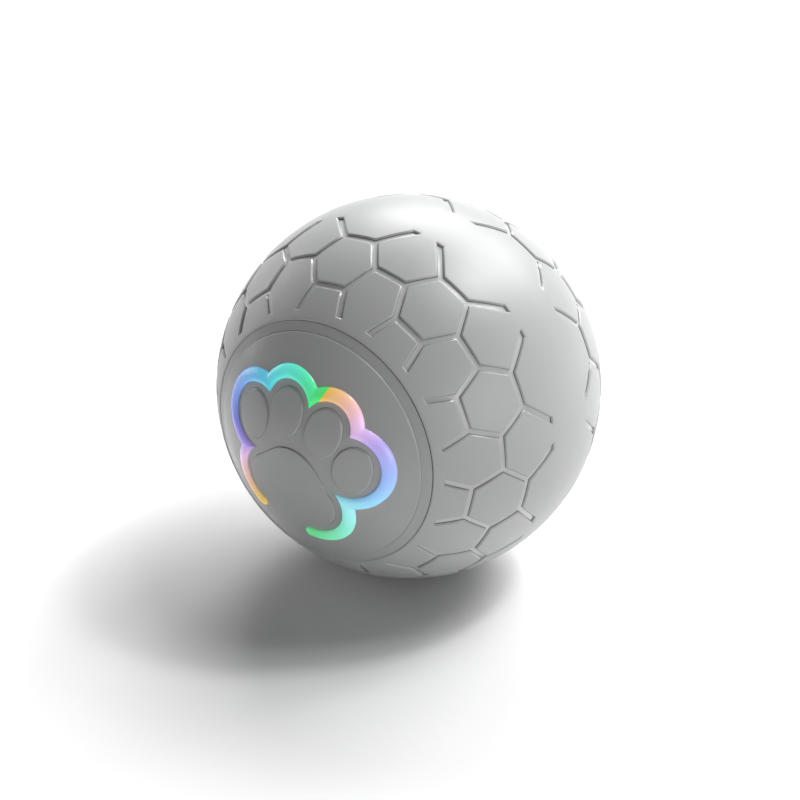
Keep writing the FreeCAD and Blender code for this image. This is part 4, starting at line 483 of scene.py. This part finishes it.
pad_line, pad_outward = pad_outline()
pad_line = pad_line + pad_growth * pad_outward
pad_middle = np.array([0, -0.0076])
swing = np.radians(np.linspace(0, 90, 9))
inner = np.array([0, 0.2, 0.4, 0.6, 0.8, 0.95])
pad_share = np.concatenate([inner, np.ones(len(swing) + 4), inner[::-1]])
pad_offset = np.concatenate([0 * inner - pad_edge, -pad_edge * (1 - np.sin(swing)),
                             [0, 0, flange_out, flange_out], 0 * inner + flange_out])
pad_level = np.concatenate([0 * inner + pad_radius, pad_radius - pad_edge * (1 - np.cos(swing)),
                            [pad_radius - pad_skirt, flange_radius, flange_radius, flange_under],
                            0 * inner + flange_under])
flat = pad_line + pad_offset[:, None, None] * pad_outward
flat = pad_middle + pad_share[:, None, None] * (flat - pad_middle)
stem_foot = -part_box("switch_plunger")[0].y + stem_gap
stem_reach = np.array([0, 1.9, 2.1, 2.2, 2.2, 0]) * 0.001
stem_level = np.array([stem_foot, stem_foot, stem_foot + 0.00005, stem_foot + 0.0002, stem_top, stem_top])
stem_middle = on_paw(stem_place, pad_radius)
turn = np.radians(np.linspace(0, 360, 37))
stem = np.stack(np.broadcast_arrays(stem_middle[0] + stem_reach[:, None] * np.cos(turn),
                                    stem_middle[1] + stem_reach[:, None] * np.sin(turn),
                                    stem_level[:, None]), axis=-1)
pad = surface("main_pad", [from_front(on_paw(flat, pad_level[:, None])), from_front(stem)])
pad.data.materials.append(cap_plastic)
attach(pad, "paw_button")
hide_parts("power_button")


# Toes of the paw: four raised ovals, moulded with the panel and drawn here over its plain ones.
# Each has a nearly flat top, a sloping edge and a foot, where a fine line of painted shade darkens it.
toe_half = np.array([0.0039, 0.0052])
toe_centres = [(0.0124, 0.0033), (0.0046, 0.0085), (-0.0046, 0.0085), (-0.0124, 0.0033)]
toe_top, toe_foot, toe_crease, toe_rim = 0.04017, 0.0394, 0.03981, 0.03990
toe_edge = np.array([[-0.22, 0], [-0.16, -0.005], [-0.12, -0.02], [-0.09, -0.05], [0.18, -0.31],
                     [0.21, -0.34], [0.22, -0.38]]) * 0.001


def toe_dome(centre, count=80):
    """Closed oval: rows from the middle of its top out to its edge, the edge's slope as pairs of
    distance beside the oval and drop, then straight on to a flat foot inside the panel."""
    turn = np.linspace(0, 2 * math.pi, count + 1)
    way = np.stack([np.cos(turn), np.sin(turn)], axis=-1)
    outward = way / toe_half
    outward /= np.linalg.norm(outward, axis=-1, keepdims=True)
    inner = np.array([0, 0.3, 0.6, 0.85])
    share = np.concatenate([inner, np.ones(len(toe_edge) + 1), inner[::-1]])
    offset = np.concatenate([0 * inner + toe_edge[0, 0], toe_edge[:, 0], toe_edge[-1:, 0],
                             0 * inner + toe_edge[-1, 0]])
    level = np.concatenate([0 * inner + toe_top, toe_top + toe_edge[:, 1], [toe_foot],
                            0 * inner + toe_foot])
    flat = centre + share[:, None, None] * (toe_half * way + offset[:, None, None] * outward)
    return on_paw(flat, level[:, None])


toes = surface("paw_toes", [from_front(toe_dome(centre)) for centre in toe_centres])
# The toes' colour turns to painted shade at the foot of their slope, between the radii toe_rim and
# toe_crease.
toes.data.materials.append(satin_plastic("toe_plastic", cap_grey, painted_shade_grey, toe_crease, toe_rim))
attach(toes, "ball")


# Tread jacket: a soft sleeve of grey silicone rubber pulled over both shells. Its mould leaves
# two bands of honeycomb grooves, whose loose ends point to the cap and to the smooth middle.
jacket_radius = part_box("tread_jacket")[1].z
jacket_wall = 0.0032
lip_radius, lip_round = 0.0264, 0.0003
cell_count, cell_polar, cell_turn, cell_side = 10, 62.2, 4.8, 0.0075
upper_end, lower_end = (44.8, 10.4), (80.9, 13.7)
groove_half, groove_depth = 0.0005, 0.0005
groove_reach = groove_half + 0.001 * np.array([-0.5, -0.1, -0.04, 0, 0.03, 0.06, 0.09, 0.29, 0.33,
                                               0.38, 0.6])
groove_level = groove_depth * np.array([-1, -1, -0.98, -0.88, -0.64, -0.55, -0.49, -0.06, -0.012,
                                        0, 0])


def toward(polar, turn):
    """Unit direction at an angle from the pole and a turn from straight up, both in degrees."""
    tip, spin = np.radians(polar), np.radians(turn)
    parts = (-np.sin(tip) * np.sin(spin), np.sin(tip) * np.cos(spin), np.cos(tip) + 0 * spin)
    return np.stack(np.broadcast_arrays(*parts), axis=-1)


def cell_corner(turn, corner):
    """Corner of a cell: a regular hexagon laid on the sphere, counted from its left corner."""
    centre = toward(cell_polar, turn)
    side = np.cross([0, 0, 1], centre)
    side /= np.linalg.norm(side)
    rise = np.cross(centre, side)
    angle = math.radians(60 * corner)
    spot = centre + cell_side / jacket_radius * (side * math.cos(angle) + rise * math.sin(angle))
    return spot / np.linalg.norm(spot)


def meeting(first, first_level, second, second_level, near):
    """Point of the sphere at given heights above two planes through its centre, beside near."""
    lean = first @ second
    share = (first_level - lean * second_level) / (1 - lean ** 2)
    other = (second_level - lean * first_level) / (1 - lean ** 2)
    flat = share[:, None] * first + other[:, None] * second
    axis = np.cross(first, second)
    rise = np.sqrt((jacket_radius ** 2 - (flat ** 2).sum(-1)) / (axis @ axis))
    return flat + (rise * np.sign(axis @ near))[:, None] * axis


def groove_run(start, finish, normal, level, count):
    """Points between two rows of corners, on the small circle at each row's height above a plane."""
    share = np.arange(count)[None, :, None] / count
    point = start[:, None] * (1 - share) + finish[:, None] * share
    lift = level[:, None, None] * normal
    reach = np.sqrt(jacket_radius ** 2 - level ** 2)[:, None, None]
    flat = point - lift
    return lift + flat * reach / np.linalg.norm(flat, axis=-1, keepdims=True)


def land(spots, end_polar=None, count=4):
    """Face between grooves: rings at growing distance from the grooves round it, sunk by the
    groove's section, then rows that close on its middle or on the circle where grooves end."""
    middle = np.mean(spots, axis=0)
    closed = end_polar is None
    pairs = list(zip(spots, spots[1:] + spots[:1] if closed else spots[1:]))
    normals = [np.cross(a, b) / np.linalg.norm(np.cross(a, b)) for a, b in pairs]
    normals = [normal * np.sign(normal @ middle) for normal in normals]
    levels = [groove_reach] * len(normals)
    if closed:
        befores, afters = [normals[-1]] + normals[:-1], normals
        befores_at, afters_at = levels, levels
    else:
        pole = np.array([0.0, 0.0, 1.0])
        circle = 0 * groove_reach + jacket_radius * math.cos(math.radians(end_polar))
        befores, afters = [pole] + normals, normals + [pole]
        befores_at, afters_at = [circle] + levels, levels + [circle]
    corners = [meeting(*edges) for edges in zip(befores, befores_at, afters, afters_at, spots)]
    nexts = corners[1:] + corners[:1] if closed else corners[1:]
    runs = [groove_run(start, finish, normal, groove_reach, count)
            for start, finish, normal in zip(corners, nexts, normals)]
    rings = np.concatenate(runs + [corners[0 if closed else -1][:, None]], axis=1)
    columns = rings.shape[1]
    if closed:
        target = np.broadcast_to(middle / np.linalg.norm(middle), (columns, 3))
    else:
        ends = np.degrees(np.arctan2(-rings[-1, [0, -1], 0], rings[-1, [0, -1], 1]))
        ends[1] = ends[0] + (ends[1] - ends[0] + 180) % 360 - 180
        target = toward(end_polar, np.linspace(ends[0], ends[1], columns))
    share = np.array([0.75, 0.5, 0.25, 0])[:, None, None]
    inside = rings[-1] * share + target * jacket_radius * (1 - share)
    inside *= jacket_radius / np.linalg.norm(inside, axis=-1, keepdims=True)
    sunk = rings * (1 + groove_level / jacket_radius)[:, None, None]
    return np.concatenate([sunk, inside])


def end_columns(lands):
    """Turn and distance from the nearest groove of every point on the circle where grooves end."""
    turns, reaches = [], []
    for sheet in lands:
        line = np.concatenate([sheet[:len(groove_reach), 0], sheet[-1, 1:-1],
                               sheet[:len(groove_reach), -1][::-1]])
        turns.append(np.degrees(np.arctan2(-line[:, 0], line[:, 1])))
        flat = np.full(len(line) - 2 * len(groove_reach), groove_reach[-1])
        reaches.append(np.concatenate([groove_reach, flat, groove_reach[::-1]]))
    turns = np.unwrap(np.concatenate(turns), period=360)
    reaches = np.concatenate(reaches)
    turns = np.append(turns, turns[0] + 360)
    return turns, np.append(reaches, reaches[0])


def end_strip(turns, reaches, polar, hand, tail):
    """Rows past the circle where grooves end: the slope of each end, then rows given as tail,
    pairs of polar angle and radius."""
    slope = groove_reach[4:10] - groove_half
    angles = polar + hand * np.degrees(slope / jacket_radius)
    sink = np.interp(np.maximum(reaches, groove_half + slope[:, None]), groove_reach, groove_level)
    first_sink = np.interp(np.maximum(reaches, groove_half), groove_reach, groove_level)
    rows = [toward(polar, turns) * (jacket_radius + first_sink)[:, None]]
    rows += [toward(angle, turns) * (jacket_radius + row)[:, None] for angle, row in zip(angles, sink)]
    rows += [toward(angle, turns) * radius for angle, radius in tail]
    return np.stack(rows)


jacket_front = []
upper_lands, lower_lands = [], []
step = 360 / cell_count
for turn in cell_turn + step * np.arange(cell_count):
    here = [cell_corner(turn, corner) for corner in range(6)]
    there = [cell_corner(turn + step, corner) for corner in range(6)]
    upper = [toward(upper_end[0], turn + hand * upper_end[1]) for hand in (-1, 1)]
    lower = [toward(lower_end[0], turn + hand * lower_end[1]) for hand in (-1, 1)]
    next_upper = toward(upper_end[0], turn + step - upper_end[1])
    next_lower = toward(lower_end[0], turn + step - lower_end[1])
    jacket_front.append(land(here))
    upper_lands.append(land([upper[0], here[2], here[1], upper[1]], upper_end[0]))
    upper_lands.append(land([upper[1], here[1], here[0], there[3], there[2], next_upper],
                            upper_end[0]))
    lower_lands.append(land([lower[0], here[4], here[5], lower[1]], lower_end[0]))
    lower_lands.append(land([lower[1], here[5], here[0], there[3], there[4], next_lower],
                            lower_end[0]))

lip_polar = math.degrees(math.asin(lip_radius / jacket_radius))
inside_radius = jacket_radius - jacket_wall
round_turn = np.radians(np.linspace(0, 90, 5))
lip_tail = [(43.2, jacket_radius), (42.5, jacket_radius)]
lip_tail += list(zip(lip_polar + np.degrees(lip_round * (1 - np.sin(round_turn)) / jacket_radius),
                     jacket_radius - lip_round * (1 - np.cos(round_turn))))
lip_tail += [(lip_polar, jacket_radius - jacket_wall / 2), (lip_polar, inside_radius)]
lip_tail += [(polar, inside_radius) for polar in np.linspace(lip_polar, 90, 12)[1:]]
middle_tail = [(polar, jacket_radius) for polar in (83.0, 85.5, 88.0, 90.0)]
jacket_front += upper_lands + lower_lands
upper_turns, upper_reaches = end_columns(upper_lands)
lower_turns, lower_reaches = end_columns(lower_lands)
jacket_front.append(end_strip(upper_turns, upper_reaches, upper_end[0], -1, lip_tail))
jacket_front.append(end_strip(lower_turns, lower_reaches, lower_end[0], 1, middle_tail))
jacket_rear = [sheet * np.array([1, 1, -1]) for sheet in jacket_front]
jacket = surface("tread_jacket_skin", [from_front(sheet) for sheet in jacket_front + jacket_rear])


def grooved_rubber(name, face, painted_shade_wall, painted_light_bed):
    """Silicone rubber of the jacket: satin faces with a faint bloom, and by the distance from the
    ball's centre the smoother beds of the grooves, paled with painted light, and their walls, darkened
    with painted shade."""
    material, tree, shader, place = new_material(name)
    rise = height(tree, place, jacket_radius - groove_depth, jacket_radius)
    # The groove walls take a dark colour of painted shade and the beds a paler colour of painted light;
    # the faces keep the rubber's own grey.
    coat = shades(tree, rise, [(0.03, painted_light_bed), (0.07, painted_shade_wall), (0.34, painted_shade_wall), (0.42, face)])
    bloom = tree.nodes.new("ShaderNodeMix")
    bloom.data_type, bloom.blend_type = "RGBA", "MULTIPLY"
    bloom.inputs["Factor"].default_value = 1.0
    tree.links.new(coat, bloom.inputs["A"])
    cloud = noise(tree, place, 45, 3)
    tree.links.new(shades(tree, cloud, [(0.3, [0.96] * 3), (0.7, [1.0] * 3)]), bloom.inputs["B"])
    tree.links.new(bloom.outputs["Result"], shader.inputs["Base Color"])
    gloss = shades(tree, rise, [(0.10, [0.14] * 3), (0.85, [0.20] * 3), (0.995, [0.42] * 3)])
    tree.links.new(gloss, shader.inputs["Roughness"])
    relief(tree, shader, noise(tree, place, 3200, 2), 1.5e-6)
    return material


# Colours: the rubber's face, painted shade for the groove walls, painted light for the groove beds.
jacket_rubber = grooved_rubber("jacket_rubber", (0.41, 0.415, 0.415), (0.15, 0.154, 0.154),
                               (0.52, 0.525, 0.525))
jacket.data.materials.append(jacket_rubber)
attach(jacket, "ball")
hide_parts("tread_jacket")


# Floor: a plain white board on which the ball rests, matt and without a pattern. It ends before
# the lamps' light does, and the white room goes on behind it.
floor_level = -jacket_radius
floor_half = 1.2
floor_mesh = bpy.data.meshes.new("floor")
floor_mesh.from_pydata([(x * floor_half, y * floor_half, floor_level)
                        for x, y in ((-1, -1), (1, -1), (1, 1), (-1, 1))], [], [(0, 1, 2, 3)])
floor = bpy.data.objects.new("floor", floor_mesh)
bpy.context.scene.collection.objects.link(floor)
floor_white, _, shader, _ = new_material("floor_white")
shader.inputs["Base Color"].default_value = (0.93, 0.93, 0.93, 1)
shader.inputs["Roughness"].default_value = 0.9
shader.inputs["Specular IOR Level"].default_value = 0.1
floor_mesh.materials.append(floor_white)


# Studio: soft lamps behind and above the ball, a small bright one among them for the edges, one
# low on the right, a faint one on the left, and a plain white room.
def stand_off(thing, azimuth, elevation, distance):
    """Sets a lamp or the camera at a distance from the ball, at an angle round from the paw cap
    and an angle up from the floor, in degrees, turned to the ball."""
    a, e = math.radians(azimuth), math.radians(elevation)
    back = np.array([math.sin(a) * math.cos(e), -math.cos(a) * math.cos(e), math.sin(e)])
    thing.location = back * distance
    thing.rotation_euler = (math.pi / 2 - e, 0, a)
    bpy.context.scene.collection.objects.link(thing)


def softbox(name, azimuth, elevation, size, power):
    """Square area lamp of a size in metres and a power in watts."""
    lamp = bpy.data.lights.new(name, "AREA")
    lamp.shape = "SQUARE"
    lamp.size = size
    lamp.energy = power
    stand_off(bpy.data.objects.new(name, lamp), azimuth, elevation, lamp_distance)


lamp_distance = 1.6
softbox("key_lamp", 140, 58, 0.8, 13)
softbox("spark_lamp", 140, 58, 0.2, 5)
softbox("back_lamp", 170, 38, 0.8, 16)
softbox("left_back_lamp", -150, 38, 0.8, 17)
softbox("low_lamp", 76, 5, 1.0, 9)
softbox("side_lamp", -93, 9, 1.0, 5)
world = bpy.data.worlds.new("studio")
bpy.context.scene.world = world
world.use_nodes = True
sky = world.node_tree.nodes["Background"]
paths = world.node_tree.nodes.new("ShaderNodeLightPath")
seen = paths.outputs["Is Camera Ray"]
for kind in ("Is Glossy Ray", "Is Transmission Ray"):
    either = world.node_tree.nodes.new("ShaderNodeMath")
    either.operation = "MAXIMUM"
    world.node_tree.links.new(seen, either.inputs[0])
    world.node_tree.links.new(paths.outputs[kind], either.inputs[1])
    seen = either.outputs["Value"]
room_level = world.node_tree.nodes.new("ShaderNodeMapRange")
room_level.inputs["To Min"].default_value = 0.03
room_level.inputs["To Max"].default_value = 1.0
sky.inputs["Color"].default_value = (1, 1, 1, 1)
world.node_tree.links.new(seen, room_level.inputs["Value"])
world.node_tree.links.new(room_level.outputs["Result"], sky.inputs["Strength"])
bpy.context.scene.view_settings.view_transform = "Standard"


# Camera: a long lens at the photograph's angle, shifted a little as its frame is.
camera_azimuth, camera_elevation, camera_distance = 34.43, 27.07, 0.668
camera = bpy.data.cameras.new("camera")
camera.sensor_width = 36
camera.lens = 144.5
camera.shift_x, camera.shift_y = -0.0110, -0.0176
camera_holder = bpy.data.objects.new("camera", camera)
stand_off(camera_holder, camera_azimuth, camera_elevation, camera_distance)
bpy.context.scene.camera = camera_holder
